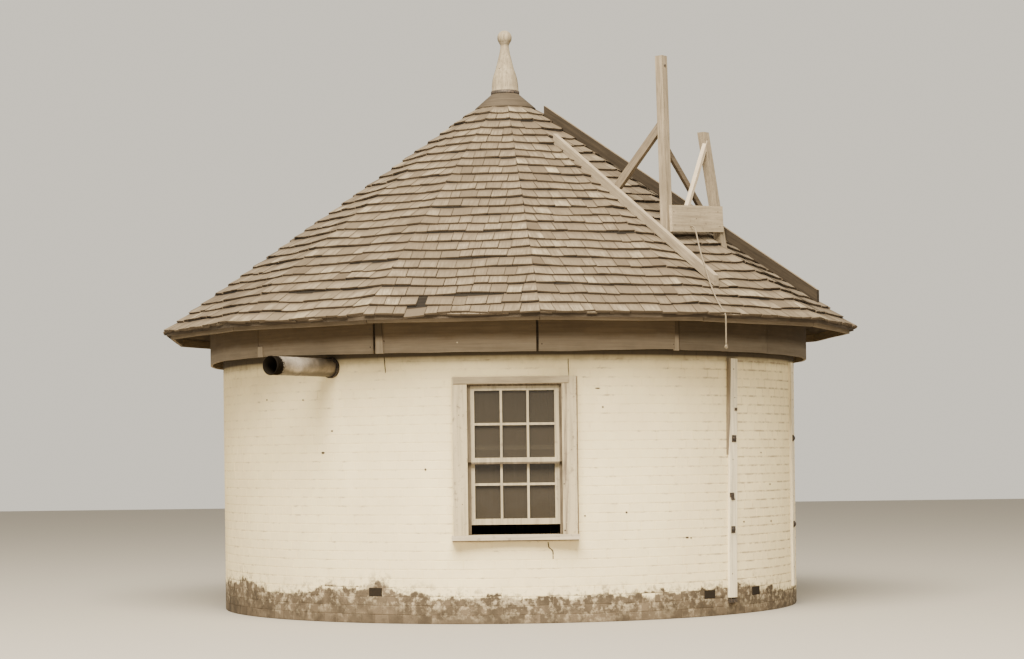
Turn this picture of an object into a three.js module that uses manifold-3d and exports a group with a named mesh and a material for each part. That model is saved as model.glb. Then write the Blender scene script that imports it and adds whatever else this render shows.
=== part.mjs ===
import * as THREE from 'three';
import { mergeVertices } from 'three/addons/utils/BufferGeometryUtils.js';
import Module from 'manifold-3d';

const wasm = await Module();
wasm.setup();

// A small round observatory: whitewashed brick walls and a turning shingled roof.
// Millimetres, +Z up, origin on the ground on the axis of the building.
// The window faces -Y, and azimuths run from -Y towards +X in degrees.

// Driving dimensions of the brick building
const wallRadius = 2500;
const wallThickness = 230;
const wallHeight = 2400;
const floorThickness = 80;
const plateThickness = 50;
const railHeight = 10;

// Driving dimensions of the turning roof
const sides = 14;
const firstHip = 3.65;
const sideAngle = 360 / sides;
const roofApex = 4542;
const hipSlope = 0.7117;
const deckDepth = 45;
const eaveRadius = 3022;
const wheelRadius = 55;
const wheelWidth = 40;
const wheelCount = 6;
const firstWheel = 15;
const skirtBottom = 2105;
const skirtTop = 2588;
const skirtThickness = 20;
const eaveStrip = { inner: 2962, outer: 2987, bottom: 2322 };
const curbOuter = 2590;
const curbInner = 2330;
const curbTop = 2605.9;

// Clearances: seat between touching pieces in millimetres, and half the joint between sectors in degrees
const seat = 0.3;
const sectorGap = 0.01;

const wallInner = wallRadius - wallThickness;

// Holes through the wall are cut from well outside it to well inside
const cutOutside = wallRadius + 200;
const cutInside = wallInner - 270;

const colours = {
  whitewash: [0xe9dcc0, 0.9, 0],
  paintedWood: [0xddd0b4, 0.7, 0],
  shingle: [0x9b8c78, 0.9, 0],
  weatheredWood: [0x8f7f68, 0.85, 0],
  skirtWood: [0x75644f, 0.8, 0],
  darkWood: [0x5d4c3a, 0.85, 0],
  sheetIron: [0x4f453b, 0.5, 0.8],
  glass: [0x6b6456, 0.1, 0],
  stone: [0x9c9180, 0.95, 0],
  rope: [0xb8ab92, 0.9, 0],
};

const model = new THREE.Group();

// Geometry helpers

function polar(radius, azimuth, z) {
  const angle = THREE.MathUtils.degToRad(azimuth);
  return new THREE.Vector3(radius * Math.sin(angle), -radius * Math.cos(angle), z);
}

function add(name, geometry, colour) {
  const [color, roughness, metalness] = colours[colour];
  const mesh = new THREE.Mesh(geometry, new THREE.MeshStandardMaterial({ color, roughness, metalness }));
  mesh.name = name;
  model.add(mesh);
  return mesh;
}

function signedVolume(points, triangles) {
  let volume = 0;
  for (let i = 0; i < triangles.length; i += 3) {
    const [a, b, c] = [points[triangles[i]], points[triangles[i + 1]], points[triangles[i + 2]]];
    volume += a.dot(new THREE.Vector3().crossVectors(b, c));
  }
  return volume;
}

// Closed geometry from shared points, turned so that every face points outwards.
function closedGeometry(points, triangles) {
  if (signedVolume(points, triangles) < 0) {
    for (let i = 0; i < triangles.length; i += 3) {
      [triangles[i], triangles[i + 1]] = [triangles[i + 1], triangles[i]];
    }
  }
  const geometry = new THREE.BufferGeometry();
  geometry.setAttribute('position', new THREE.Float32BufferAttribute(points.flatMap((p) => p.toArray()), 3));
  geometry.setIndex(triangles);
  return geometry;
}

// Joins outlines of equally many points, one after another. Open lofts get a flat cap at each end.
function loft(sections, closed = false) {
  const size = sections[0].length;
  const count = sections.length;
  const points = sections.flat();
  const triangles = [];
  const spans = closed ? count : count - 1;
  for (let s = 0; s < spans; s += 1) {
    const next = (s + 1) % count;
    for (let i = 0; i < size; i += 1) {
      const j = (i + 1) % size;
      const [a, b, c, d] = [s * size + i, s * size + j, next * size + j, next * size + i];
      triangles.push(a, b, c, a, c, d);
    }
  }
  if (!closed) {
    const last = (count - 1) * size;
    for (let i = 1; i < size - 1; i += 1) {
      triangles.push(0, i + 1, i);
      triangles.push(last, last + i, last + i + 1);
    }
  }
  return closedGeometry(points, triangles);
}

// A radius-and-height outline carried from one azimuth to another.
function sector(outline, from, to, steps) {
  const sections = [];
  for (let i = 0; i <= steps; i += 1) {
    const azimuth = from + ((to - from) * i) / steps;
    sections.push(outline.map(([radius, z]) => polar(radius, azimuth, z)));
  }
  return loft(sections);
}

// The same outline carried all the way round.
function ring(outline, steps, start = 0) {
  const sections = [];
  for (let i = 0; i < steps; i += 1) {
    sections.push(outline.map(([radius, z]) => polar(radius, start + (360 * i) / steps, z)));
  }
  return loft(sections, true);
}

function block(x0, x1, y0, y1, z0, z1) {
  const geometry = new THREE.BoxGeometry(x1 - x0, y1 - y0, z1 - z0);
  geometry.translate((x0 + x1) / 2, (y0 + y1) / 2, (z0 + z1) / 2);
  return geometry;
}

function rectangle(inner, outer, bottom, top) {
  return [[inner, bottom], [outer, bottom], [outer, top], [inner, top]];
}

// A straight timber between two points, with its ends cut square to it.
function timber(start, end, width, depth) {
  const along = end.clone().sub(start).normalize();
  const across = new THREE.Vector3(0, 0, 1).cross(along).normalize();
  const upward = along.clone().cross(across);
  const corners = [[-1, -1], [1, -1], [1, 1], [-1, 1]];
  return loft([start, end].map((centre) => corners.map(([u, v]) => centre.clone()
    .addScaledVector(across, (u * width) / 2)
    .addScaledVector(upward, (v * depth) / 2))));
}

// A square post with level ends, turned so that one face looks along the azimuth.
function post(foot, top, side, azimuth) {
  const outward = polar(1, azimuth, 0);
  const sideways = polar(1, azimuth + 90, 0);
  const corners = [[-1, -1], [1, -1], [1, 1], [-1, 1]];
  return loft([foot, top].map((centre) => corners.map(([u, v]) => centre.clone()
    .addScaledVector(outward, (u * side) / 2)
    .addScaledVector(sideways, (v * side) / 2))));
}

// Joins and cuts

function toSolid(geometry) {
  const bare = geometry.clone();
  bare.deleteAttribute('normal');
  bare.deleteAttribute('uv');
  const merged = mergeVertices(bare, 0.001);
  return new wasm.Manifold(new wasm.Mesh({
    numProp: 3,
    vertProperties: new Float32Array(merged.attributes.position.array),
    triVerts: new Uint32Array(merged.index.array),
  }));
}

function toGeometry(solid) {
  const mesh = solid.getMesh();
  const geometry = new THREE.BufferGeometry();
  geometry.setAttribute('position', new THREE.BufferAttribute(new Float32Array(mesh.vertProperties), 3));
  geometry.setIndex(Array.from(mesh.triVerts));
  return geometry;
}

function join(...geometries) {
  return toGeometry(geometries.map(toSolid).reduce((whole, next) => whole.add(next)));
}

function cut(geometry, ...tools) {
  return toGeometry(tools.map(toSolid).reduce((whole, tool) => whole.subtract(tool), toSolid(geometry)));
}

function keep(geometry, tool) {
  return toGeometry(toSolid(geometry).intersect(toSolid(tool)));
}

// Window: two sashes, six panes over six, the lower one pushed up a little

const casingHalf = 480;
const casingInner = 367;
const casingFace = -2530;
const casingBack = -2455;
const casingTop = 1915;
const casingHead = 1868;
const sillTop = 689;
const sillBottom = 651;
const sillHorn = 15;
const sillNose = 35;
const windowBrickHalf = 400;
const windowBrickTop = 1890;
const liningBack = -2330;
const sashHalf = casingInner - seat;
const sashDepth = 35;
const sashStile = 56;
const sashHeight = 614;
const railHeights = { top: 59, meeting: 34, bottom: 45 };
const lowerSashRaised = 80;
const barWidth = 18;
const barDepth = 24;
const glassThickness = 3;
const upperSashFace = -2490;
const lowerSashFace = upperSashFace + sashDepth + 3;

const windowBrickHole = block(-windowBrickHalf, windowBrickHalf, -cutOutside, -cutInside,
  sillBottom, windowBrickTop);
const casingPocket = block(-casingHalf - seat, casingHalf + seat, -cutOutside, casingBack + seat,
  sillBottom - seat, casingTop + seat);

function windowCasing() {
  const head = block(-casingHalf, casingHalf, casingFace, casingBack, casingHead, casingTop);
  const boards = [-1, 1].map((side) => block(...span(side, casingInner, casingHalf),
    casingFace, casingBack, sillTop + seat, casingHead));
  const linings = [-1, 1].map((side) => block(...span(side, casingInner, windowBrickHalf - seat),
    casingBack - 1, liningBack, sillTop + seat, windowBrickTop - seat));
  const headLining = block(-casingInner - 1, casingInner + 1, casingBack - 1, liningBack,
    casingHead, windowBrickTop - seat);
  return join(head, ...boards, ...linings, headLining);
}

function span(side, near, far) {
  return side < 0 ? [-far, -near] : [near, far];
}

// A sash is a frame of stiles and rails with two upright bars and one across.
function sash(face, bottom, bottomRail, topRail) {
  const back = face + sashDepth;
  const top = bottom + sashHeight;
  const glassHalf = sashHalf - sashStile;
  const glassLow = bottom + bottomRail;
  const glassHigh = top - topRail;
  const frame = cut(block(-sashHalf, sashHalf, face, back, bottom, top),
    block(-glassHalf, glassHalf, face - 1, back + 1, glassLow, glassHigh));
  const uprights = [-1, 1].map((side) => block((side * glassHalf) / 3 - barWidth / 2,
    (side * glassHalf) / 3 + barWidth / 2, face, face + barDepth, glassLow - 1, glassHigh + 1));
  const middle = (glassLow + glassHigh) / 2;
  const across = block(-glassHalf - 1, glassHalf + 1, face, face + barDepth,
    middle - barWidth / 2, middle + barWidth / 2);
  const glass = block(-glassHalf + seat, glassHalf - seat, face + barDepth + seat,
    face + barDepth + seat + glassThickness, glassLow + seat, glassHigh - seat);
  return { wood: join(frame, ...uprights, across), glass };
}

const upperSash = sash(upperSashFace, casingHead - seat - sashHeight, railHeights.meeting, railHeights.top);
const lowerSash = sash(lowerSashFace, sillTop + lowerSashRaised, railHeights.bottom, railHeights.meeting);

// Door on the far side, opposite the window

const doorBrickHalf = 430;
const doorBrickTop = 2060;
const doorFrameWidth = 60;
const doorHead = 2000;
const doorFace = 2440;
const doorFrameDepth = 110;
const doorThickness = 40;
const doorReveal = 10;
const thresholdNose = 30;
const doorBrickHole = block(-doorBrickHalf, doorBrickHalf, cutInside, cutOutside, 0, doorBrickTop);

function doorFrame() {
  const outer = doorBrickHalf - seat;
  const inner = doorBrickHalf - doorFrameWidth;
  const top = doorBrickTop - seat;
  const low = floorThickness + seat;
  const back = doorFace - doorFrameDepth;
  const jambs = [-1, 1].map((side) => block(...span(side, inner, outer), back, doorFace, low, top));
  return join(...jambs, block(-inner - 1, inner + 1, back, doorFace, doorHead, top));
}

// Walls in sectors, with a bay of their own below and above the window and above the door

const windowBay = 9.4;
const doorBay = 10.3;

function wallSector(from, to, bottom, top) {
  const steps = Math.ceil((to - from) / 3.3);
  return sector(rectangle(wallInner, wallRadius, bottom, top), from + sectorGap, to - sectorGap, steps);
}

function addWalls() {
  const perSide = 4;
  const arc = (180 - windowBay - doorBay) / perSide;
  for (let i = 0; i < perSide; i += 1) {
    const from = windowBay + i * arc;
    const right = wallSector(from, from + arc, 0, wallHeight);
    const left = wallSector(-from - arc, -from, 0, wallHeight);
    const tools = [];
    if (i === 0) tools.push(windowBrickHole, casingPocket);
    if (i === perSide - 1) tools.push(doorBrickHole);
    add(`wall_right_${i + 1}`, tools.length ? cut(right, ...tools) : right, 'whitewash');
    add(`wall_left_${i + 1}`, tools.length ? cut(left, ...tools) : left, 'whitewash');
  }
  add('wall_below_window', wallSector(-windowBay, windowBay, 0, sillBottom - seat), 'whitewash');
  add('wall_above_window', cut(wallSector(-windowBay, windowBay, windowBrickTop, wallHeight), casingPocket),
    'whitewash');
  add('wall_above_door', wallSector(180 - doorBay, 180 + doorBay, doorBrickTop, wallHeight), 'whitewash');
}

function addWindow() {
  add('window_casing', windowCasing(), 'paintedWood');
  add('window_sill', block(-casingHalf - sillHorn, casingHalf + sillHorn, casingFace - sillNose,
    casingBack - seat, sillBottom, sillTop), 'paintedWood');
  add('window_stool', block(-windowBrickHalf + seat, windowBrickHalf - seat, casingBack, liningBack,
    sillBottom, sillTop), 'paintedWood');
  add('upper_sash', upperSash.wood, 'paintedWood');
  add('upper_glass', upperSash.glass, 'glass');
  add('lower_sash', lowerSash.wood, 'paintedWood');
  add('lower_glass', lowerSash.glass, 'glass');
}

function addDoor() {
  const half = doorBrickHalf - doorFrameWidth - 2;
  add('door_frame', doorFrame(), 'paintedWood');
  add('door_leaf', block(-half, half, doorFace - doorThickness - doorReveal, doorFace - doorReveal,
    floorThickness + seat, doorHead - 2), 'paintedWood');
  add('door_threshold', block(-doorBrickHalf + seat, doorBrickHalf - seat, wallInner + 10,
    wallRadius + thresholdNose, 0, floorThickness), 'stone');
}

// Things fixed on the outside of the wall

// Boards lean by an angle in radians about one height.
// Each of their levels gives a height and how far the face stands out from the wall.
const leanHeight = 1100;
const boardBack = wallRadius - 0.25;
const boardHalf = 47;
const battenWidth = 20;
const uprightBoards = [
  { name: 'wall_board_left', azimuth: 44.76, lean: 0.02, from: -boardHalf, to: boardHalf,
    levels: [[140, 22], [2065, 22]] },
  { name: 'wall_batten', azimuth: 44.76, lean: 0.02, from: -boardHalf - seat - battenWidth,
    to: -boardHalf - seat, levels: [[1290, 8], [1600, 27], [2065, 31]] },
  { name: 'wall_board_right', azimuth: 72.2, lean: 0, from: -boardHalf, to: boardHalf,
    levels: [[170, 24], [2065, 24]] },
];
const pipeAzimuth = -35.05;
const pipeHeight = 2015;
const pipeRadius = 73;
const pipeWall = 4;
const pipeReach = 3254;
const collarRadius = 82;
const collarDepth = 30;

// A tube or washer lying along an azimuth, from one radius to another.
function radialTube(inner, outer, near, far, azimuth, height, segments = 24) {
  const profile = [[inner, near], [outer, near], [outer, far], [inner, far], [inner, near]];
  const outline = profile.map(([r, along]) => new THREE.Vector2(r, along));
  const geometry = new THREE.LatheGeometry(outline, segments);
  geometry.deleteAttribute('normal');
  geometry.deleteAttribute('uv');
  const turned = mergeVertices(geometry, 0.001);
  turned.rotateZ(THREE.MathUtils.degToRad(azimuth + 180));
  turned.translate(0, 0, height);
  return turned;
}

// An upright board on the wall, leaning sideways.
function uprightBoard({ azimuth, lean, from, to, levels }) {
  const sections = levels.map(([z, depth]) => {
    const face = -boardBack - depth;
    const corners = [[from, -boardBack], [to, -boardBack], [to, face], [from, face]];
    return corners.map(([x, y]) => new THREE.Vector3(x, y, z - leanHeight));
  });
  return loft(sections)
    .rotateY(lean)
    .rotateZ(THREE.MathUtils.degToRad(azimuth))
    .translate(0, 0, leanHeight);
}

function addWallFittings() {
  for (const board of uprightBoards) add(board.name, uprightBoard(board), 'paintedWood');
  add('stovepipe', radialTube(pipeRadius - pipeWall, pipeRadius, wallRadius + seat, pipeReach,
    pipeAzimuth, pipeHeight), 'sheetIron');
  add('stovepipe_collar', radialTube(pipeRadius + seat, collarRadius, wallRadius + seat,
    wallRadius + collarDepth, pipeAzimuth, pipeHeight), 'sheetIron');
}

// Bearing between the wall and the roof

const trackRadius = 2380;
const trackHalfWidth = 15;
const plateInner = 2290;
const plateOuter = 2480;
const bearingSteps = 84;
const plateTop = wallHeight + seat + plateThickness;
const railTop = plateTop + seat + railHeight;
const curbBottom = railTop + 25;
const ringSteps = 96;

function curbRing() {
  const timberRing = ring(rectangle(curbInner, curbOuter, curbBottom, curbTop), ringSteps, firstHip);
  const wheels = [];
  for (let i = 0; i < wheelCount; i += 1) {
    const wheel = new THREE.CylinderGeometry(wheelRadius, wheelRadius, wheelWidth, 24);
    wheel.translate(0, -trackRadius, 0);
    wheel.rotateZ(THREE.MathUtils.degToRad(firstWheel + (360 * i) / wheelCount));
    wheel.translate(0, 0, railTop + seat + wheelRadius);
    wheels.push(wheel);
  }
  return join(timberRing, ...wheels);
}

// Roof surface: fourteen flat sides that meet in hips

function hipHeight(radius) {
  return roofApex - hipSlope * radius;
}

const capRadius = 268;
const capRim = 34;
const kingRadius = 118;
const crownRadius = 121.4;

function roofShell(fromHip, count, gap) {
  const sections = [];
  for (let i = 0; i <= count; i += 1) {
    let azimuth = firstHip + (fromHip + i) * sideAngle;
    if (i === 0) azimuth += gap;
    if (i === count) azimuth -= gap;
    sections.push([
      polar(crownRadius, azimuth, hipHeight(crownRadius) - deckDepth),
      polar(eaveRadius, azimuth, hipHeight(eaveRadius) - deckDepth),
      polar(eaveRadius, azimuth, hipHeight(eaveRadius)),
      polar(crownRadius, azimuth, hipHeight(crownRadius)),
    ]);
  }
  return loft(sections);
}

// Observing slot between two rails on the roof

const railThickness = 50;
const frontRail = { top: polar(810, 30.55, 4045), foot: polar(2670, 37.35, 2712), depth: 84 };
const backRail = { top: polar(396, 60.55, 4361), foot: polar(2907, 60.55, 2636), depth: 104 };

function railSide(rail) {
  const run = rail.foot.clone().sub(rail.top).setZ(0).normalize();
  return new THREE.Vector3(-run.y, run.x, 0);
}

// A rail has upright sides and ends, a straight top edge and an even depth.
function railSolid(rail, grow = 0) {
  const side = railSide(rail);
  const half = railThickness / 2 + grow;
  return loft([rail.top, rail.foot].map((end) => [
    end.clone().addScaledVector(side, -half).setZ(end.z + grow),
    end.clone().addScaledVector(side, half).setZ(end.z + grow),
    end.clone().addScaledVector(side, half).setZ(end.z - rail.depth - grow),
    end.clone().addScaledVector(side, -half).setZ(end.z - rail.depth - grow),
  ]));
}

function alongRail(rail, share, inward) {
  return rail.top.clone().lerp(rail.foot, share).addScaledVector(railSide(rail), inward);
}

const slotShares = { front: [0.02, 0.97], back: [0.18, 0.94] };
const slotSpan = [2000, 5000];

// Upright prism over the slot's four corners, drawn in by the clearance.
function slotPrism(clearance) {
  const inset = railThickness / 2 + clearance;
  const shift = clearance / 2000;
  const corners = [
    alongRail(frontRail, slotShares.front[0] + shift, inset),
    alongRail(frontRail, slotShares.front[1] - shift, inset),
    alongRail(backRail, slotShares.back[1] - shift, -inset),
    alongRail(backRail, slotShares.back[0] + shift, -inset),
  ];
  return loft(slotSpan.map((z) => corners.map((corner) => corner.clone().setZ(z))));
}

function addRoof() {
  const sectionCount = sides / 2;
  const slotHole = slotPrism(0);
  for (let i = 0; i < sectionCount; i += 1) {
    add(`roof_section_${i + 1}`, cut(roofShell(2 * i, 2, sectorGap), slotHole), 'shingle');
  }
  add('slot_cover', keep(roofShell(0, 4, 0), slotPrism(seat)), 'shingle');
  const under = (radius) => hipHeight(radius) - deckDepth - seat;
  const { inner, outer, bottom } = eaveStrip;
  const strip = [[inner, bottom], [outer, bottom], [outer, under(outer)], [inner, under(inner)]];
  add('eave_board', ring(strip, sides, firstHip), 'paintedWood');
  add('curb_ring', curbRing(), 'darkWood');
  const skirtParts = 4;
  for (let i = 0; i < skirtParts; i += 1) {
    const from = firstHip + (360 * i) / skirtParts;
    add(`skirt_${i + 1}`, sector(rectangle(curbOuter + seat, curbOuter + seat + skirtThickness,
      skirtBottom, skirtTop), from + sectorGap, from + 360 / skirtParts - sectorGap, ringSteps / skirtParts),
    'skirtWood');
  }
}

// Finial and the cap at its foot

function lathe(profile, segments) {
  return new THREE.LatheGeometry(profile.map(([r, z]) => new THREE.Vector2(r, z)), segments)
    .rotateX(Math.PI / 2);
}

const capTop = 4493;
const capBore = 80.3;
const kingFoot = 4250;
const neckRadius = 78;
const finialRadius = 119;
const finialFoot = capTop + seat;
const ballCentre = 4996;
const ballRadius = 64.5;

function finialProfile() {
  const crownTop = hipHeight(crownRadius);
  const profile = [[0, kingFoot], [kingRadius, kingFoot], [kingRadius, crownTop], [neckRadius, crownTop],
    [neckRadius, finialFoot], [finialRadius, finialFoot], [finialRadius, 4530], [117, 4572], [112, 4613],
    [105, 4651], [94, 4683], [83, 4713], [74, 4747], [65, 4784], [56, 4820], [47.5, 4854], [41, 4893],
    [37, 4920], [38, 4934], [46, 4944]];
  for (let angle = -40; angle < 90; angle += 13) {
    const turn = THREE.MathUtils.degToRad(angle);
    profile.push([ballRadius * Math.cos(turn), ballCentre + ballRadius * Math.sin(turn)]);
  }
  profile.push([0, ballCentre + ballRadius]);
  return profile;
}

function addCrown() {
  const bed = (radius) => hipHeight(radius) + seat + 0.3;
  add('finial', lathe(finialProfile(), 20), 'weatheredWood');
  const low = bed(capRadius);
  const profile = [[capBore, bed(crownRadius)], [crownRadius, bed(crownRadius)], [capRadius, low],
    [capRadius, low + capRim], [finialRadius, capTop], [capBore, capTop]];
  add('crown_cap', ring(profile, 2 * sides, firstHip), 'darkWood');
}

// Timber frame standing between the rails

const postSide = 70;
const tallPost = { foot: alongRail(frontRail, 0.672, 74).setZ(2950), top: polar(2034, 37.74, 4541) };
const shortPost = { foot: alongRail(backRail, 0.675, -70).setZ(2950), top: polar(1955, 56.81, 3991) };
const frameLine = onPost(shortPost, 3230).sub(onPost(tallPost, 3230));
const frameAzimuth = THREE.MathUtils.radToDeg(Math.atan2(frameLine.y, frameLine.x));
const frameTimbers = {
  tallBrace: { railShare: 0.385, onPost: 4000, width: 38, depth: 72 },
  shortBrace: { onPost: 3913, foot: 3240, reach: -490, width: 34, depth: 36 },
  crossBrace: { onTall: 3866, tallEnd: 36, onShort: 3182, shortEnd: -8, width: 30, depth: 45 },
  board: { onTall: 3216, onShort: 3258, end: -5, thickness: 26, height: 215 },
};

// Everything under the roof's surface, raised by the seat.
function underRoof() {
  const radius = eaveRadius + 100;
  const points = [];
  for (let i = 0; i < sides; i += 1) {
    points.push(polar(radius, firstHip + i * sideAngle, hipHeight(radius) + seat));
  }
  points.push(new THREE.Vector3(0, 0, roofApex + seat), new THREE.Vector3(0, 0, 1500));
  const triangles = [];
  for (let i = 0; i < sides; i += 1) {
    const next = (i + 1) % sides;
    triangles.push(i, next, sides, next, i, sides + 1);
  }
  return closedGeometry(points, triangles);
}

function framePost({ foot, top }, grow = 0) {
  return post(foot, top, postSide + 2 * grow, frameAzimuth);
}

// A point on a post's centre line at a height.
function onPost({ foot, top }, z) {
  return foot.clone().lerp(top, (z - foot.z) / (top.z - foot.z));
}

// The same, moved along the frame and out from it.
function besidePost(timberPost, z, sideways, outward) {
  return onPost(timberPost, z).addScaledVector(polar(1, frameAzimuth + 90, 0), sideways)
    .addScaledVector(polar(1, frameAzimuth, 0), outward);
}

function addSlotFrame() {
  const roof = underRoof();
  const posts = [framePost(tallPost, seat), framePost(shortPost, seat)];
  const around = [roof, ...posts, railSolid(frontRail, seat), railSolid(backRail, seat)];
  add('front_rail', cut(railSolid(frontRail), roof), 'weatheredWood');
  add('back_rail', cut(railSolid(backRail), roof), 'darkWood');
  add('tall_post', cut(framePost(tallPost), roof), 'weatheredWood');
  add('short_post', cut(framePost(shortPost), roof), 'weatheredWood');
  const { tallBrace, shortBrace, crossBrace, board } = frameTimbers;
  const inward = railThickness / 2 + tallBrace.width / 2 + 1;
  add('tall_brace', cut(timber(alongRail(frontRail, tallBrace.railShare, inward),
    onPost(tallPost, tallBrace.onPost), tallBrace.width, tallBrace.depth), ...around), 'weatheredWood');
  const facing = postSide / 2 + seat + board.thickness / 2;
  const boardSolid = (grow) => timber(besidePost(tallPost, board.onTall, board.end, facing),
    besidePost(shortPost, board.onShort, -board.end, facing), board.thickness + grow, board.height + grow);
  const flush = (postSide - shortBrace.width) / 2;
  add('short_brace', cut(timber(besidePost(shortPost, shortBrace.foot, shortBrace.reach, flush),
    besidePost(shortPost, shortBrace.onPost, 0, flush), shortBrace.width, shortBrace.depth),
  boardSolid(2 * seat), ...posts), 'paintedWood');
  const behind = -(postSide + crossBrace.width) / 2 - seat;
  add('cross_brace', cut(timber(besidePost(tallPost, crossBrace.onTall, crossBrace.tallEnd, behind),
    besidePost(shortPost, crossBrace.onShort, crossBrace.shortEnd, behind), crossBrace.width,
    crossBrace.depth), roof, ...posts), 'darkWood');
  add('frame_board', cut(boardSolid(0), ...posts), 'weatheredWood');
}

// Pull rope: out of the frame's board, over the front rail, down the shingles and over the eave to a knot

const ropeRadius = 6;
const ropeStep = 24;
const ropeSides = 10;
const ropeRoute = [
  [1484.8, -1465.5, 3167],
  [1498.2, -1477.6, 3166],
  [1509.5, -1491.5, 3159],
  [1516, -1512, 3144],
  [1519, -1560, 3110],
  [1521, -1660, 3042],
  [1523, -1770, 2968],
  [1526, -1880, 2900],
  [1529, -1968, 2852],
  [1531, -2016, 2828],
  [1534, -2046, 2809],
  [1538, -2071, 2784],
  [1545, -2107, 2739],
  [1554, -2151, 2689],
  [1563, -2200, 2638],
  [1573, -2252, 2593],
  [1585, -2325, 2536],
  [1600, -2405, 2480],
  [1619, -2475, 2430],
  [1633, -2517, 2397],
  [1641, -2539, 2371],
  [1643, -2545, 2336],
  [1643, -2545, 2284],
  [1643, -2545, 2214],
  [1643, -2545, 2143.3],
];
const knot = { x: 1643, y: -2545, bottom: 2107, top: 2143, radius: 15 };

function addRope() {
  const points = ropeRoute.map((point) => new THREE.Vector3(...point));
  const curve = new THREE.CatmullRomCurve3(points, false, 'centripetal');
  const section = new THREE.Shape();
  section.absarc(0, 0, ropeRadius, 0, 2 * Math.PI);
  const steps = Math.round(curve.getLength() / ropeStep);
  const tube = new THREE.ExtrudeGeometry(section, {
    steps,
    bevelEnabled: false,
    curveSegments: ropeSides / 2,
    extrudePath: curve,
  });
  add('pull_rope', tube, 'rope');
  const height = knot.top - knot.bottom;
  const profile = [[0, 0], [0.5, 0], [0.9, 0.25], [1, 0.5], [0.9, 0.75], [0.5, 1], [0, 1]];
  add('rope_knot', lathe(profile.map(([r, z]) => [r * knot.radius, z * height]), 12)
    .translate(knot.x, knot.y, knot.bottom), 'rope');
}

addWalls();
add('floor', new THREE.CylinderGeometry(wallInner - 1.5, wallInner - 1.5, floorThickness, 60)
  .rotateX(Math.PI / 2).translate(0, 0, floorThickness / 2), 'stone');
addWindow();
addDoor();
addWallFittings();
add('wall_plate', ring(rectangle(plateInner, plateOuter, wallHeight + seat, plateTop), bearingSteps),
  'darkWood');
add('track_rail', ring(rectangle(trackRadius - trackHalfWidth, trackRadius + trackHalfWidth,
  plateTop + seat, railTop), bearingSteps), 'sheetIron');
addRoof();
addCrown();
addSlotFrame();
addRope();

export default model;
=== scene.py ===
import math

import bmesh
import bpy
import numpy as np
from mathutils import Matrix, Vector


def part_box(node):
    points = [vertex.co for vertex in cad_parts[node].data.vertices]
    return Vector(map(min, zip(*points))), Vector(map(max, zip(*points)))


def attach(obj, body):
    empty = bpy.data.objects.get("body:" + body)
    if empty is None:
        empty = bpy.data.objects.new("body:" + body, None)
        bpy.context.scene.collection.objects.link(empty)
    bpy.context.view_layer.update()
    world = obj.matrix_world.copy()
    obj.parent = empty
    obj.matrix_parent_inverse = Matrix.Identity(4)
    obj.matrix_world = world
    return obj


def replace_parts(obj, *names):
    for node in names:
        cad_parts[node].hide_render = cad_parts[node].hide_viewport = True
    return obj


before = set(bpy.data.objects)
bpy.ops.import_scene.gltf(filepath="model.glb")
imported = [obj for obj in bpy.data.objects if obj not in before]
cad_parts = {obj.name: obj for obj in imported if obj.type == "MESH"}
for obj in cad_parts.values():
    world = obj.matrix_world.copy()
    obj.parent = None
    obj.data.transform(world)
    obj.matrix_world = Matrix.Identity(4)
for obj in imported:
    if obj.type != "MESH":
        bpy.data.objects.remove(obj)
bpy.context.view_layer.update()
print("frame loaded")

# Metres, +Z up, the window faces -Y, azimuths run from -Y towards +X in degrees


def polar(radius, azimuth, z):
    # points from radius, azimuth and height: x is radius by sine, y is minus radius by cosine
    angle = np.radians(azimuth)
    return np.stack(np.broadcast_arrays(radius * np.sin(angle), -radius * np.cos(angle), z), -1)


def unit(vectors):
    return vectors / np.linalg.norm(vectors, axis=-1, keepdims=True)


def circle(steps):
    # the angles of a full turn
    return np.linspace(0, 2 * np.pi, steps, endpoint=False)


def addObject(name, data):
    made = bpy.data.objects.new(name, data)
    bpy.context.scene.collection.objects.link(made)
    return made


def placed(place, *turns):
    # the matrix that makes the turns, each an angle and an axis, the last one first, and then moves to the
    # place
    matrix = Matrix.Translation(place.tolist())
    for angle, axis in turns:
        matrix = matrix @ Matrix.Rotation(angle, 4, axis)
    return matrix


# Camera, at the photograph's place and focal length

cameraValues = {
    "distance": 20.0,
    "azimuth": -0.951,
    "height": 1.3,
    "lean": 0.012,
    "focalPixels": 2262.0,
    "imageSize": (1024, 659),
    "axisPixel": (509.5, 456.0),
    "sensorWidth": 36.0,
    "farClip": 200.0,
}


def makeCamera(values):
    width, height = values["imageSize"]
    data = bpy.data.cameras.new("camera")
    data.sensor_width = values["sensorWidth"]
    data.lens = values["focalPixels"] / width * values["sensorWidth"]
    data.shift_x = (width / 2 - values["axisPixel"][0]) / width
    data.shift_y = (values["axisPixel"][1] - height / 2) / width
    data.clip_end = values["farClip"]
    camera = addObject("camera", data)
    azimuth = values["azimuth"]
    camera.matrix_world = placed(polar(values["distance"], azimuth, values["height"]),
                                 (math.radians(azimuth), "Z"), (math.pi / 2, "X"), (-values["lean"], "Z"))
    bpy.context.scene.camera = camera


makeCamera(cameraValues)
print("camera placed")

# Meshes from whole arrays; a shape is its points and its faces


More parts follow.
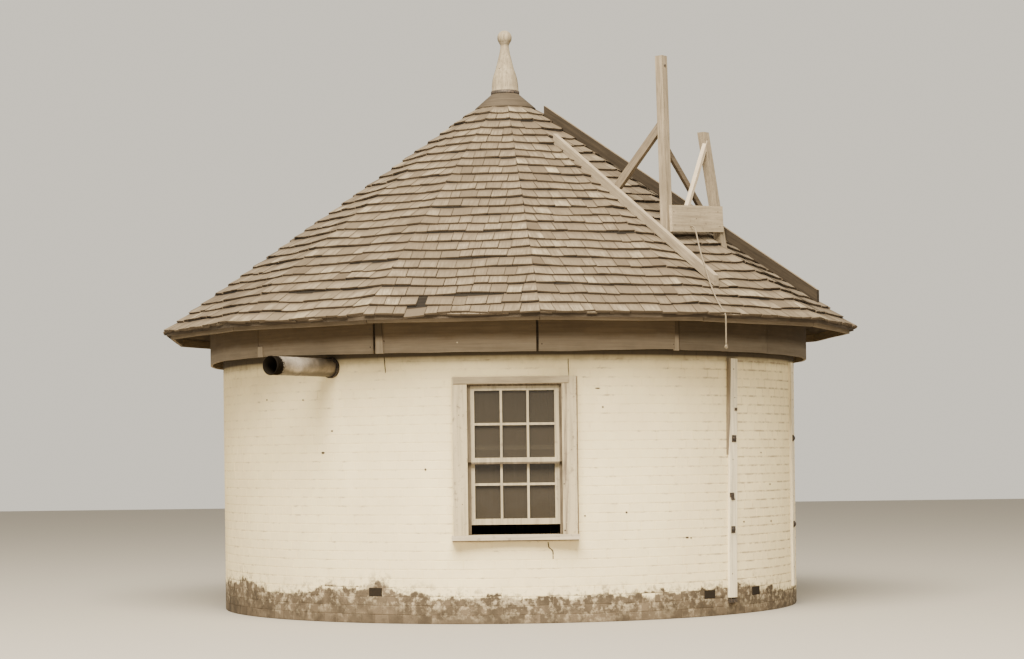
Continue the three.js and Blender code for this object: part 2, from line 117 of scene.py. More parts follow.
def newPiece(name, shape, body, material, fields=None, uv=None, smooth=False, merge=True):
    # fields are one number per point, uv one pair per point; merge joins the doubled points of seams and
    # poles and turns every face outwards
    points = np.ascontiguousarray(shape[0], np.float32).reshape(-1, 3)
    faces = np.ascontiguousarray(shape[1], np.int32)
    mesh = bpy.data.meshes.new(name)
    mesh.vertices.add(len(points))
    mesh.vertices.foreach_set("co", points.ravel())
    mesh.loops.add(faces.size)
    mesh.loops.foreach_set("vertex_index", faces.ravel())
    mesh.polygons.add(len(faces))
    mesh.polygons.foreach_set("loop_start", np.arange(len(faces), dtype=np.int32) * faces.shape[1])
    mesh.polygons.foreach_set("use_smooth", np.full(len(faces), smooth))
    mesh.update(calc_edges=True)
    for field, numbers in (fields or {}).items():
        layer = mesh.attributes.new(field, "FLOAT", "POINT")
        layer.data.foreach_set("value", np.ascontiguousarray(numbers, np.float32).ravel())
    if uv is not None:
        corners = np.ascontiguousarray(uv, np.float32).reshape(-1, 2)[faces.ravel()]
        mesh.uv_layers.new(name="grain").data.foreach_set("uv", corners.ravel())
    mesh.validate()
    mesh.materials.append(material)
    piece = addObject(name, mesh)
    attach(piece, body)
    if merge:
        solid = bmesh.new()
        solid.from_mesh(mesh)
        bmesh.ops.remove_doubles(solid, verts=solid.verts, dist=1e-5)
        bmesh.ops.dissolve_degenerate(solid, edges=solid.edges, dist=1e-6)
        bmesh.ops.recalc_face_normals(solid, faces=solid.faces)
        solid.to_mesh(mesh)
        solid.free()
    return piece


def repeated(points, faces):
    # the same faces laid over each entry of points in turn
    count = len(points)
    points = points.reshape(count, -1, 3)
    steps = (np.arange(count) * points.shape[1])[:, None, None]
    return points.reshape(-1, 3), (faces[None] + steps).reshape(-1, faces.shape[1])


def manySlabs(top, bottom):
    # top and bottom are (count, rows, columns, 3): each pair makes a closed slab of a top grid, a bottom
    # grid after it, and a wall of quads round their edge
    count, rows, columns = top.shape[:3]
    index = np.arange(rows * columns).reshape(rows, columns)
    upper = np.stack([index[:-1, :-1], index[:-1, 1:], index[1:, 1:], index[1:, :-1]], -1).reshape(-1, 4)
    edge = np.concatenate([index[0, :-1], index[:-1, -1], index[-1, :0:-1], index[:0:-1, 0]])
    after = np.roll(edge, -1)
    side = np.stack([edge + rows * columns, after + rows * columns, after, edge], -1)
    points = np.concatenate([top.reshape(count, -1, 3), bottom.reshape(count, -1, 3)], 1)
    return repeated(points, np.concatenate([upper, upper[:, ::-1] + rows * columns, side]))


def bentSlabs(outer, inner, azimuth, z):
    # slabs between two radii, over grids of azimuth and height
    return manySlabs(polar(outer, azimuth, z), polar(inner, azimuth, z))


def manyBlocks(rings):
    # rings is (count, levels, 4, 3): four corners on each level, joined level by level and capped at both
    # ends
    index = np.arange(rings.shape[1] * 4).reshape(-1, 4)
    after = np.roll(index, -1, 1)
    side = np.stack([index[:-1], after[:-1], after[1:], index[1:]], -1).reshape(-1, 4)
    return repeated(rings, np.concatenate([side, index[:1, ::-1], index[-1:]]))


def easedBoxes(boxes, ease):
    # boxes are rows of x0, x1, z0, z1, back, front; the edges of their fronts are cut back by ease
    x0, x1, z0, z1, back, front = np.array(boxes, float).T
    rings = []
    for depth, inset in ((back, 0), (front - np.sign(front - back) * ease, 0), (front, ease)):
        x = np.stack([x0 + inset, x1 - inset, x1 - inset, x0 + inset], -1)
        z = np.stack([z0 + inset, z0 + inset, z1 - inset, z1 - inset], -1)
        rings.append(np.stack(np.broadcast_arrays(x, depth[:, None], z), -1))
    return manyBlocks(np.stack(rings, 1))


def spread(numbers, each):
    # one number per entry, repeated for each of its points
    return np.repeat(np.asarray(numbers, float).ravel(), each)


def sweepFaces(rings, sides, closed=False):
    # quads between neighbouring rings of equally many points
    index = np.arange(rings * sides).reshape(rings, sides)
    ahead = np.roll(index, -1, 0) if closed else index[1:]
    here = index if closed else index[:-1]
    return np.stack([here, np.roll(here, -1, 1), np.roll(ahead, -1, 1), ahead], -1).reshape(-1, 4)


def turnFaces(steps, count):
    # a line of points turned round the axis that both its ends lie on
    return sweepFaces(steps, count, closed=True)[np.tile(np.arange(count) < count - 1, steps)]


def turned(profile, steps, wobble=0.0):
    # a profile of (radius, height) carried round the z axis; it runs from axis to axis or closes on itself,
    # and wobble bends the radius by a slow sine
    radius, height = np.array(profile, float).T
    turn = circle(steps)[:, None]
    radius = radius * (1 + wobble * np.sin(3 * turn + height * 9))
    points = np.stack([radius * np.cos(turn), radius * np.sin(turn), height + 0 * turn], -1)
    if profile[0][0] == 0:
        return points, turnFaces(steps, len(height))
    return points, sweepFaces(steps, len(height), closed=True)


def manyStuds(profile, steps, places, normals):
    # a turned profile on each place, its height along that place's normal
    local, faces = turned(profile, steps)
    places = np.array(places, float)
    normals = unit(np.broadcast_to(np.array(normals, float), places.shape))
    across = unit(np.cross(normals, (0.31, 0.17, 0.94)))
    axes = np.stack([across, np.cross(normals, across), normals], 1)
    return repeated(places[:, None, None] + np.einsum("spk,nkc->nspc", local, axes), faces)


def joined(shapes):
    # several shapes as one
    offsets = np.cumsum([0] + [len(points) for points, _ in shapes[:-1]])
    return (np.concatenate([points for points, _ in shapes]),
            np.concatenate([faces + offset for (_, faces), offset in zip(shapes, offsets)]))


# Materials from nodes: each helper adds to the material in hand and gives back an output

inHand = {}


def newMaterial(name, roughness):
    material = bpy.data.materials.new(name)
    material.use_nodes = True
    shader = material.node_tree.nodes["Principled BSDF"]
    inHand.update(material=material, tree=material.node_tree, shader=shader)
    setSockets(shader, {"Roughness": roughness, "Specular IOR Level": 0.15 if roughness > 0.8 else 0.5})
    return material


def setSockets(node, inputs):
    # an input takes another node's output, or a number, vector or colour of its own
    for key, value in inputs.items():
        socket = node.inputs[key]
        if isinstance(value, bpy.types.NodeSocket):
            inHand["tree"].links.new(value, socket)
        else:
            socket.default_value = (*value, 1) if socket.type == "RGBA" else value


def addNode(kind, inputs, output=0, **settings):
    made = inHand["tree"].nodes.new(kind)
    for key, value in settings.items():
        setattr(made, key, value)
    setSockets(made, inputs)
    return made.outputs[output]


def mapped(source, scale):
    return addNode("ShaderNodeMapping", {"Vector": source, "Scale": scale})


def objectCoords(scale=(1, 1, 1)):
    return mapped(addNode("ShaderNodeTexCoord", {}, "Object"), scale)


def ownMap(scale):
    return mapped(addNode("ShaderNodeUVMap", {}, uv_map="grain"), scale)


def part(vector, axis):
    return addNode("ShaderNodeSeparateXYZ", {"Vector": vector}, axis)


def dot(vector, axis):
    return addNode("ShaderNodeVectorMath", {0: vector, 1: axis}, "Value", operation="DOT_PRODUCT")


def slantCoords(direction, fine=48, coarse=2.2):
    # distance along the direction by the coarse scale, and across it by the fine one
    source = addNode("ShaderNodeTexCoord", {}, "Object")
    along = unit(np.array(direction, float))
    side = unit(np.cross(along, (0.31, 0.62, 0.72)))
    axes = along * coarse, side * fine, np.cross(along, side) * fine
    inputs = {key: dot(source, axis.tolist()) for key, axis in zip("XYZ", axes)}
    return addNode("ShaderNodeCombineXYZ", inputs)


def attribute(name):
    return addNode("ShaderNodeAttribute", {}, "Fac", attribute_name=name)


def facing():
    # how far the surface faces up
    return part(addNode("ShaderNodeNewGeometry", {}, "True Normal"), "Z")


def noise(vector, scale=1.0, detail=4.0, roughness=0.55):
    return addNode("ShaderNodeTexNoise",
                   {"Vector": vector, "Scale": scale, "Detail": detail, "Roughness": roughness})


def calc(operation, first, second=0.0):
    return addNode("ShaderNodeMath", {0: first, 1: second}, operation=operation)


def times(first, second):
    return calc("MULTIPLY", first, second)


def plus(first, second):
    return calc("ADD", first, second)


def minus(first, second):
    return calc("SUBTRACT", first, second)


def uneven(value, field, amount, middle=0.5):
    # the value shifted by the field's distance from its middle
    return plus(value, times(minus(field, middle), amount))


def fromSide():
    # distance from the side of a brick or a shingle, by its half width and the place across it
    return minus(attribute("half"), calc("ABSOLUTE", attribute("across")))


def between(value, low, high):
    # rises smoothly from 0 at low to 1 at high
    return addNode("ShaderNodeMapRange", {"Value": value, "From Min": low, "From Max": high},
                   interpolation_type="SMOOTHSTEP")


def ramp(factor, *stops):
    # numbers or colours set along the factor
    output = addNode("ShaderNodeValToRGB", {"Fac": factor})
    elements = output.node.color_ramp.elements
    while len(elements) < len(stops):
        elements.new(0.5)
    for element, (position, color) in zip(elements, stops):
        element.position = position
        element.color = (*np.broadcast_to(color, 3), 1)
    return output


def mix(factor, first, second, blend="MIX"):
    return addNode("ShaderNodeMix", {0: factor, 6: first, 7: second}, 2, data_type="RGBA", blend_type=blend)


def over(under, color, field, *stops):
    # the colour covers what is under it by the ramp of the field
    return mix(ramp(field, *stops), under, color)


def fade(under, color, value, low, high, share=1.0):
    # the colour comes in between low and high, up to its share
    return mix(times(between(value, low, high), share), under, color)


def dim(color, share):
    return tuple(c * share for c in color)


def finish(color, relief, depth, strength=1.0, more=None):
    bump = addNode("ShaderNodeBump", {"Height": relief, "Distance": depth, "Strength": strength})
    setSockets(inHand["shader"], {"Base Color": color, "Normal": bump, **(more or {})})
    return inHand["material"]


wallLooks = {
    "wash": (0.95, 0.80, 0.48),
    "washDull": (0.82, 0.68, 0.41),
    "joint": (0.40, 0.31, 0.20),
    # painted shade under the skirt: its colour and the heights it comes in over, then the heights of a
    # painted shadow line at the skirt's edge
    "underSkirtShade": (0.075, 0.055, 0.036),
    "underSkirtShadeFrom": (2.0, 2.085),
    "shadeFrom": (2.07, 2.09),
    "brick": (0.145, 0.108, 0.07),
    # the dark of bare bricks, also the colour of the painted shadow line under the skirt
    "brickDarkAndShade": (0.045, 0.033, 0.022),
    "remnant": (0.60, 0.49, 0.32),
    "courseRise": 0.0706,
    "half": 2.5,
    "wornLine": [(-2.5, 0.24), (-2.28, 0.31), (-2.08, 0.275), (-1.99, 0.225), (-1.62, 0.24), (-1.55, 0.285),
                 (-1.27, 0.27), (-1.16, 0.3), (-1.08, 0.335), (-0.97, 0.295), (-0.9, 0.25), (-0.67, 0.22),
                 (0.0, 0.195), (0.45, 0.2), (0.97, 0.207), (1.175, 0.23), (1.35, 0.212), (1.57, 0.208),
                 (1.61, 0.246), (1.94, 0.232), (2.07, 0.19), (2.4, 0.15)],
}


def wallMaterial(name, looks, joints):
    # whitewash over brick, faintly blotched, with painted shade just under the skirt and a darker painted
    # shadow line at its edge; the courses show as soft lines that come and go, most at the right; below a
    # line made ragged by noise and by each brick's tone the bricks are bare, with the last of the wash in
    # smears
    newMaterial(name, 0.92)
    plain = objectCoords()
    height = part(plain, "Z")
    aside = part(plain, "X")
    blotch = noise(plain, 1.7, 5)
    patch = noise(plain, 9, 5, 0.65)
    smear = noise(plain, 19, 6, 0.66)
    grit = noise(plain, 160, 3, 0.6)
    brick, dull = looks["brick"], looks["washDull"]
    wash = over(dull, looks["wash"], blotch, (0.33, 0.3), (0.6, 1.0))
    wash = over(wash, dull, patch, (0.3, 0.3), (0.5, 0.0))
    bed = between(calc("PINGPONG", height, looks["courseRise"] / 2), 0.0115, 0.002)
    last = ramp(smear, (0.49, 0.0), (0.63, 0.75))
    if joints:
        tone = 0.4
        bare = mix(smear, brick, dim(brick, 1.3))
    else:
        tone = attribute("tone")
        ordinary = between(tone, 0.08, 0.2)
        wash = over(wash, dull, tone, (0.2, 0.3), (0.6, 0.0))
        bare = ramp(tone, (0.1, dim(looks["brickDarkAndShade"], 0.4)), (0.16, dim(brick, 0.7)), (0.5, brick),
                    (1.0, dim(brick, 1.3)))
        bare = mix(times(ramp(patch, (0.38, 0.75), (0.56, 0.0)), ordinary), bare, dim(brick, 0.45))
        bed = calc("MAXIMUM", bed, times(between(fromSide(), 0.009, 0.001), 0.4))
        last = times(last, ordinary)
    dashes = plus(noise(objectCoords((8.5, 8.5, 15)), 1.0, 4, 0.74), times(between(aside, 1.0, 2.0), 0.12))
    wash = mix(times(bed, ramp(dashes, (0.48, 0.0), (0.58, 0.16), (0.7, 0.85))), wash, looks["joint"])
    # painted shade darkens the wash under the skirt, and a darker painted shadow line lies along the skirt's
    # edge
    wash = fade(wash, looks["underSkirtShade"], uneven(height, patch, 0.05), *looks["underSkirtShadeFrom"], 0.74)
    wash = fade(wash, looks["brickDarkAndShade"], height, *looks["shadeFrom"], 0.9)
    line = ramp(plus(times(aside, 0.5 / looks["half"]), 0.5),
                *((0.5 + 0.5 * x / looks["half"], z) for x, z in looks["wornLine"]))
    edge = uneven(uneven(uneven(minus(height, line), patch, 0.13), smear, 0.09), tone, 0.07, 0.45)
    bare = mix(times(last, between(edge, -0.26, 0.0)), bare, looks["remnant"])
    bare = over(bare, looks["brickDarkAndShade"], grit, (0.35, 0.25), (0.6, 0.0))
    splash = times(between(edge, 0.14, 0.0), ramp(smear, (0.5, 0.0), (0.62, 0.75)))
    covered = between(edge, -0.014, 0.012)
    color = mix(covered, bare, mix(splash, wash, brick))
    return finish(color, plus(plus(times(patch, 1.4), times(grit, 0.3)), covered), 0.0016)


def woodMaterial(name, grain, light, dark, worn, slanting=False, tones=False, spots=0.0, paintedEaveShade=None,
                 paintedTopShading=None):
    # weathered timber: long grain lines, slow patches and darker checks; grain stretches the coordinates or,
    # on a slanting timber, is its direction; painted eave shade, when given, is a height below which the wood
    # pales and one above which it stays dark, and how dark; painted top shading, when given, is how much
    # paler its upward faces are lit, or how much darker where it is below one
    newMaterial(name, 0.85)
    vector = slantCoords(grain) if slanting else objectCoords(grain)
    fibre = noise(vector, 1.0, 6, 0.62)
    checks = noise(vector, 3.1, 3, 0.7)
    plain = objectCoords()
    cloud = noise(plain, 5.0, 4, 0.6)
    color = over(dark, light, fibre, (0.33, 0.0), (0.66, 1.0))
    color = over(color, dim(dark, 0.45), checks, (0.36, worn), (0.5, 0.0))
    color = over(color, dim(dark, 0.7), cloud, (0.35, 0.35), (0.6, 0.0))
    if tones:
        color = mix(1.0, color, ramp(attribute("tone"), (0.0, 0.42), (1.0, 1.12)), "MULTIPLY")
    if spots:
        color = over(color, dim(dark, 0.5), noise(plain, 34, 3, 0.7), (0.6, 0.0), (0.68, spots))
    # painted shade of the eave: dark above the band, paler below it
    if paintedEaveShade:
        shaded = mix(1.0, color, paintedEaveShade[2], "MULTIPLY")
        color = fade(color, shaded, uneven(part(plain, "Z"), cloud, 0.06), *paintedEaveShade[:2])
    # painted light on the upward faces, or painted shade where the share is below one
    if paintedTopShading:
        color = fade(color, mix(1.0, color, np.broadcast_to(paintedTopShading, 3), "MULTIPLY"), facing(), 0.4, 0.7)
    return finish(color, plus(times(fibre, 0.7), times(checks, 0.5)), 0.0012)


def paintMaterial(name, grain, paint, under, worn, streak=None):
    # old white paint with grain showing through, flaked off in small patches down to the wood; streak gives
    # the x limits of an upright band where most of it has gone
    newMaterial(name, 0.7)
    plain = objectCoords()
    fibre = noise(objectCoords(grain), 1.0, 5, 0.6)
    flake = noise(plain, 26, 6, 0.7)
    dirt = noise(objectCoords((3, 3, 1)), 1.3, 5, 0.65)
    color = over(paint, dim(paint, 0.74), dirt, (0.36, 0.55), (0.62, 0.0))
    color = over(color, dim(paint, 0.6), fibre, (0.37, 0.75), (0.56, 0.0))
    bare = times(ramp(flake, (0.58, 0.0), (0.64, 1.0)), ramp(fibre, (0.4, 1.0), (0.6, 0.3)))
    color = mix(times(bare, worn), color, under)
    if streak:
        left, right = streak
        place = uneven(part(plain, "X"), dirt, 0.05)
        band = times(between(place, left - 0.008, left), between(place, right + 0.008, right))
        color = mix(times(band, ramp(fibre, (0.4, 0.95), (0.62, 0.15))), color, under)
    return finish(color, minus(times(fibre, 0.5), times(bare, 0.6)), 0.0008)


shingleLooks = {
    "tones": [(0.0, (0.09, 0.067, 0.043)), (0.3, (0.165, 0.128, 0.083)), (0.62, (0.22, 0.175, 0.117)),
              (0.85, (0.28, 0.227, 0.153)), (1.0, (0.37, 0.306, 0.2))],
    "grain": (0.085, 0.064, 0.042),
    "stain": (0.11, 0.083, 0.055),
    # the dark of butts and end grain, also the colour of painted shade at butts, sides and under the next
    # course
    "butt": (0.095, 0.071, 0.047),
    # painted shade where a lost shingle bares the covered part
    "deep": (0.035, 0.025, 0.016),
}


def shingleMaterial(name, looks):
    # each shingle has its own tone; grain runs up it by its own map; staining and painted shade darken it
    # towards the next course, wear and painted shade at its butt, painted shade at its sides and on its
    # downward faces, and deep painted shade where a lost shingle bares it
    newMaterial(name, 0.9)
    fibre = noise(ownMap((62, 5, 1)), 1.0, 5, 0.65)
    stain = noise(ownMap((14, 6, 1)), 1.0, 4)
    rise = attribute("rise")
    color = ramp(attribute("tone"), *looks["tones"])
    color = over(color, looks["grain"], fibre, (0.36, 0.7), (0.57, 0.0))
    color = over(color, looks["stain"], stain, (0.34, 0.6), (0.57, 0.0))
    # the butt's low edge darkened by wear and painted shade
    color = fade(color, looks["butt"], rise, 0.12, 0.0, 0.55)
    color = over(color, looks["stain"], noise(objectCoords(), 1.1, 4, 0.6), (0.36, 0.35), (0.6, 0.0))
    # staining with painted shade towards the next course's butt
    color = fade(color, looks["stain"], rise, 0.45, 0.95, 0.45)
    # painted shadow just under the next course's butt
    color = fade(color, looks["butt"], rise, 0.62, 0.95, 0.8)
    # deep painted shade of the covered part, seen where a shingle is lost
    color = fade(color, looks["deep"], rise, 0.99, 1.04, 0.9)
    # painted shade in the gaps at the shingle's sides
    color = fade(color, looks["butt"], fromSide(), 0.010, 0.0005, 0.6)
    # painted shade on the downward butt faces, over their dark end grain
    color = fade(color, looks["butt"], facing(), 0.45, 0.25)
    return finish(color, plus(fibre, times(stain, 0.6)), 0.0016)


def ironMaterial(name, light, dark, metallic, roughness):
    # sheet or wrought iron with rust and soot in patches
    newMaterial(name, roughness)
    cloud = noise(objectCoords(), 9, 5, 0.65)
    speck = noise(objectCoords(), 60, 4, 0.7)
    color = over(dark, light, cloud, (0.38, 0.0), (0.62, 1.0))
    color = over(color, (0.16, 0.11, 0.075), speck, (0.5, 0.0), (0.62, 0.6))
    return finish(color, plus(cloud, times(speck, 0.3)), 0.001, more={"Metallic": metallic})


pipeLooks = {
    "bright": (0.36, 0.31, 0.25),
    "dull": (0.21, 0.178, 0.14),
    # rust, also the colour of the painted shade on the underside
    "rustAndUnderShade": (0.07, 0.055, 0.043),
    "soot": (0.009, 0.007, 0.005),
    "sootFrom": (3.15, 3.185),
    "bore": (0.0718, 0.0705),
    # heights over which painted shade darkens the underside
    "under": (1.99, 1.96),
    "axisHeight": 2.015,
    "azimuth": -35.05,
}


def pipeMaterial(name, looks):
    # the stovepipe's sheet iron: smooth, darker below by painted shade, matt with soot at the open end and
    # within
    newMaterial(name, 0.5)
    plain = objectCoords()
    height = part(plain, "Z")
    flat = addNode("ShaderNodeVectorMath", {0: plain, 1: (1, 1, 0)}, operation="MULTIPLY")
    reach = addNode("ShaderNodeVectorMath", {0: flat}, "Value", operation="LENGTH")
    cloud = noise(plain, 7, 4, 0.6)
    speck = noise(plain, 60, 4, 0.7)
    color = over(looks["dull"], looks["bright"], cloud, (0.4, 0.0), (0.62, 1.0))
    # painted shade darkens the pipe's underside
    color = fade(color, looks["rustAndUnderShade"], uneven(height, cloud, 0.05), *looks["under"])
    color = over(color, looks["rustAndUnderShade"], speck, (0.55, 0.0), (0.68, 0.4))
    angle = math.radians(looks["azimuth"])
    sideways = dot(plain, (math.cos(angle), math.sin(angle), 0))
    rise = minus(height, looks["axisHeight"])
    apart = calc("SQRT", plus(times(sideways, sideways), times(rise, rise)))
    within = between(apart, *looks["bore"])
    soot = calc("MAXIMUM", between(uneven(reach, speck, 0.12), *looks["sootFrom"]), within)
    clean = minus(1.0, soot)
    more = {"Metallic": times(clean, 0.35), "Specular IOR Level": times(clean, 0.5),
            "Roughness": plus(times(soot, 0.5), 0.5)}
    return finish(mix(soot, color, looks["soot"]), plus(cloud, times(speck, 0.2)), 0.0008, more=more)


def glassMaterial(name):
    # thin old glass with faint waves; its dark colour is painted shade of the dim room within
    newMaterial(name, 0.06)
    return finish((0.06, 0.048, 0.033), noise(objectCoords(), 7, 2, 0.4), 0.0015, 0.5,
                  {"Alpha": 0.62, "Specular IOR Level": 0.6})


def ropeMaterial(name):
    # hemp strands, by the rope's own map
    newMaterial(name, 0.9)
    fibre = noise(ownMap((40, 260, 1)), 1.0, 4)
    return finish(mix(fibre, (0.11, 0.087, 0.058), (0.26, 0.21, 0.145)), fibre, 0.0006)


upright = (48, 48, 2.2)
level = (2.2, 2.2, 60)
crosswise = (2.2, 40, 48)
frontRail = polar(2.670, 37.35, 2.712) - polar(0.810, 30.55, 4.045)
backRail = polar(2.907, 60.55, 2.636) - polar(0.396, 60.55, 4.361)
oldWood = (0.17, 0.125, 0.08)

wallWash = wallMaterial("whitewashed brick", wallLooks, False)
wallJoint = wallMaterial("whitewashed joints", wallLooks, True)
whitePaint = paintMaterial("white paint upright", upright, (0.60, 0.51, 0.36), oldWood, 0.8)
casingPaint = paintMaterial("casing paint", upright, (0.54, 0.44, 0.272), (0.14, 0.103, 0.066), 0.9,
                            streak=(0.372, 0.402))
sashPaint = paintMaterial("sash paint", upright, (0.45, 0.372, 0.238), oldWood, 0.7)
whiteLevel = paintMaterial("white paint level", crosswise, (0.55, 0.46, 0.32), oldWood, 0.6)
plankPaint = paintMaterial("whitewashed plank", upright, (0.88, 0.77, 0.54), (0.3, 0.23, 0.16), 0.35)
postWood = woodMaterial("post wood", upright, (0.325, 0.262, 0.18), (0.19, 0.148, 0.098), 0.5)
shortPostWood = woodMaterial("short post wood", upright, (0.30, 0.24, 0.165), (0.19, 0.15, 0.1), 0.5)
# the tall brace, the rails and the cross brace have upward faces made paler by painted light; the deck's are
# made darker by painted shade
tallBraceWood = woodMaterial("tall brace wood", (-0.3, 0.38, -0.46), (0.24, 0.19, 0.13), (0.15, 0.115, 0.077),
                             0.4, slanting=True, paintedTopShading=1.5)
braceWood = woodMaterial("short brace wood", (-0.33, -0.37, -0.67), (0.58, 0.48, 0.34), (0.42, 0.34, 0.24),
                         0.25, slanting=True)
frontRailWood = woodMaterial("front rail wood", frontRail, (0.30, 0.245, 0.17), (0.2, 0.157, 0.107), 0.4,
                             slanting=True, paintedTopShading=1.25)
# the back rail's very dark colour is painted shade on its sides, its upward faces lit by painted light
backRailWood = woodMaterial("back rail wood", backRail, (0.045, 0.033, 0.021), (0.026, 0.019, 0.012), 0.4,
                            slanting=True, paintedTopShading=(5.4, 5.6, 5.6))
boardWood = woodMaterial("frame board wood", (0.67, 0.743, 0.06), (0.45, 0.365, 0.25), (0.27, 0.215, 0.145),
                         0.25, slanting=True, spots=0.5)
darkWood = woodMaterial("dark wood", level, (0.08, 0.061, 0.042), (0.042, 0.031, 0.021), 0.4)
deckWood = woodMaterial("roof deck", level, (0.11, 0.084, 0.057), (0.055, 0.041, 0.028), 0.4, paintedTopShading=0.2)
# the cross brace's dark colour is painted shade, its upward faces lit by painted light
crossWood = woodMaterial("cross brace wood", level, (0.17, 0.13, 0.088), (0.09, 0.068, 0.045), 0.4,
                         paintedTopShading=2.2)
capWood = woodMaterial("cap wood", level, (0.095, 0.073, 0.049), (0.06, 0.045, 0.03), 0.3)
headWood = woodMaterial("head board wood", crosswise, (0.42, 0.34, 0.22), (0.29, 0.235, 0.155), 0.3)
# the beads' dark colour is partly painted shade between the sashes and the casing
beadShadeWood = woodMaterial("bead wood in painted shade", upright, (0.19, 0.148, 0.1), (0.085, 0.065, 0.043), 0.4)
# the skirt and its cover strip stay dark above under painted eave shade and pale below
skirtWood = woodMaterial("skirt wood", level, (0.375, 0.308, 0.225), (0.295, 0.238, 0.172), 0.12, tones=True,
                         paintedEaveShade=(2.165, 2.255, (0.38, 0.33, 0.265)))
stripWood = woodMaterial("eave strip wood", level, (0.25, 0.195, 0.13), (0.16, 0.122, 0.08), 0.3, tones=True)
coverWood = woodMaterial("skirt strip wood", upright, (0.47, 0.39, 0.29), (0.36, 0.295, 0.215), 0.15,
                         paintedEaveShade=(2.19, 2.255, (0.19, 0.165, 0.13)))
finialWood = woodMaterial("finial wood", (38, 38, 5), (0.36, 0.297, 0.2), (0.21, 0.168, 0.113), 0.5,
                          spots=0.5)
pipeIron = pipeMaterial("stovepipe iron", pipeLooks)
darkIron = ironMaterial("wrought iron", (0.05, 0.038, 0.028), (0.022, 0.017, 0.013), 0.3, 0.7)
nailIron = ironMaterial("nail heads", (0.09, 0.068, 0.046), (0.05, 0.037, 0.026), 0.1, 0.8)
stone = ironMaterial("floor stone", (0.34, 0.29, 0.22), (0.22, 0.185, 0.14), 0.0, 0.95)
shingleWood = shingleMaterial("weathered shingles", shingleLooks)
oldGlass = glassMaterial("old glass")
crackDark = ironMaterial("crack shadow", (0.09, 0.068, 0.046), (0.05, 0.037, 0.025), 0.0, 1.0)
# painted shadow lines beside the casing, under its head and under the sill
jointShade = ironMaterial("painted joint shadow", (0.33, 0.26, 0.17), (0.2, 0.155, 0.1), 0.0, 1.0)
hemp = ropeMaterial("hemp rope")
print("materials made")

# Finishes of the frame's own pieces, by how their names begin; the longest match holds

finishes = {
    "wall_": wallJoint, "floor": stone, "window_casing": casingPaint, "window_sill": whiteLevel,
    "window_stool": whiteLevel, "upper_sash": sashPaint, "lower_sash": sashPaint, "upper_glass": oldGlass,
    "lower_glass": oldGlass, "door_frame": whitePaint, "door_leaf": whitePaint, "door_threshold": stone,
    "wall_board_left": plankPaint, "wall_board_right": plankPaint, "wall_batten": postWood,
    "stovepipe": pipeIron, "wall_plate": darkWood, "track_rail": darkIron, "roof_section": deckWood,
    "slot_cover": deckWood, "eave_board": stripWood, "curb_ring": darkWood, "skirt": skirtWood,
    "finial": finialWood, "crown_cap": capWood, "front_rail": frontRailWood, "back_rail": backRailWood,
    "tall_post": postWood, "short_post": shortPostWood, "tall_brace": tallBraceWood, "short_brace": braceWood,
    "cross_brace": crossWood, "frame_board": boardWood, "pull_rope": hemp, "rope_knot": hemp,
}

for nodeName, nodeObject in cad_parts.items():
    matches = [key for key in finishes if nodeName.startswith(key)]
    nodeObject.data.materials.clear()
    nodeObject.data.materials.append(finishes[max(matches, key=len)])
print("frame finished")

# Pull rope: three strands twisted along the route of the frame's tube, ending in a knot

ropeValues = {
    "diameter": 0.012,
    "strandDepth": 0.0008,
    "twistLength": 0.045,
    "step": 0.006,
    "sides": 18,
    "route": [
        (1.4848, -1.4655, 3.167), (1.4982, -1.4776, 3.166), (1.5095, -1.4915, 3.159), (1.516, -1.512, 3.144),
        (1.519, -1.56, 3.11), (1.521, -1.66, 3.042), (1.523, -1.77, 2.968), (1.526, -1.88, 2.9),
        (1.529, -1.968, 2.852), (1.531, -2.016, 2.828), (1.534, -2.046, 2.809), (1.538, -2.071, 2.784),
        (1.545, -2.107, 2.739), (1.554, -2.151, 2.689), (1.563, -2.2, 2.638), (1.573, -2.252, 2.593),
        (1.585, -2.325, 2.536), (1.6, -2.405, 2.48), (1.619, -2.475, 2.43), (1.633, -2.517, 2.397),
        (1.641, -2.539, 2.371), (1.643, -2.545, 2.336), (1.643, -2.545, 2.284), (1.643, -2.545, 2.214),
        (1.643, -2.545, 2.1433),
    ],
    "knotRadius": 0.013,
    "knotHalfHeight": 0.0178,
    "knotRidges": (0.0022, 0.001),
    "knotGrid": (40, 22),
    "mapTurn": (6.3, 3.2),  # angles that make one unit of the map, round the rope and down the knot
}


def smoothRoute(points, step):
    # centripetal Catmull-Rom curve through the points, read at even steps of length
    points = np.array(points, float)
    ends = np.concatenate([[2 * points[0] - points[1]], points, [2 * points[-1] - points[-2]]])
    knots = np.concatenate([[0], np.cumsum(np.sqrt(np.linalg.norm(np.diff(ends, axis=0), axis=1)))])
    first = np.arange(len(points) - 1)[:, None]
    t = knots[first + 1] + np.linspace(0, 1, 40, endpoint=False) * (knots[first + 2] - knots[first + 1])

    def blend(low, high, a, b):
        start, end = knots[first + low], knots[first + high]
        return ((end - t)[..., None] * a + (t - start)[..., None] * b) / (end - start)[..., None]

    p0, p1, p2, p3 = (ends[first + k] for k in range(4))
    a1, a2, a3 = blend(0, 1, p0, p1), blend(1, 2, p1, p2), blend(2, 3, p2, p3)
    curve = blend(1, 2, blend(0, 2, a1, a2), blend(1, 3, a2, a3)).reshape(-1, 3)
    curve = np.concatenate([curve, points[-1:]])
    length = np.concatenate([[0], np.cumsum(np.linalg.norm(np.diff(curve, axis=0), axis=1))])
    wanted = np.linspace(0, length[-1], int(round(length[-1] / step)) + 1)
    return np.stack([np.interp(wanted, length, axis) for axis in curve.T], -1), length[-1]


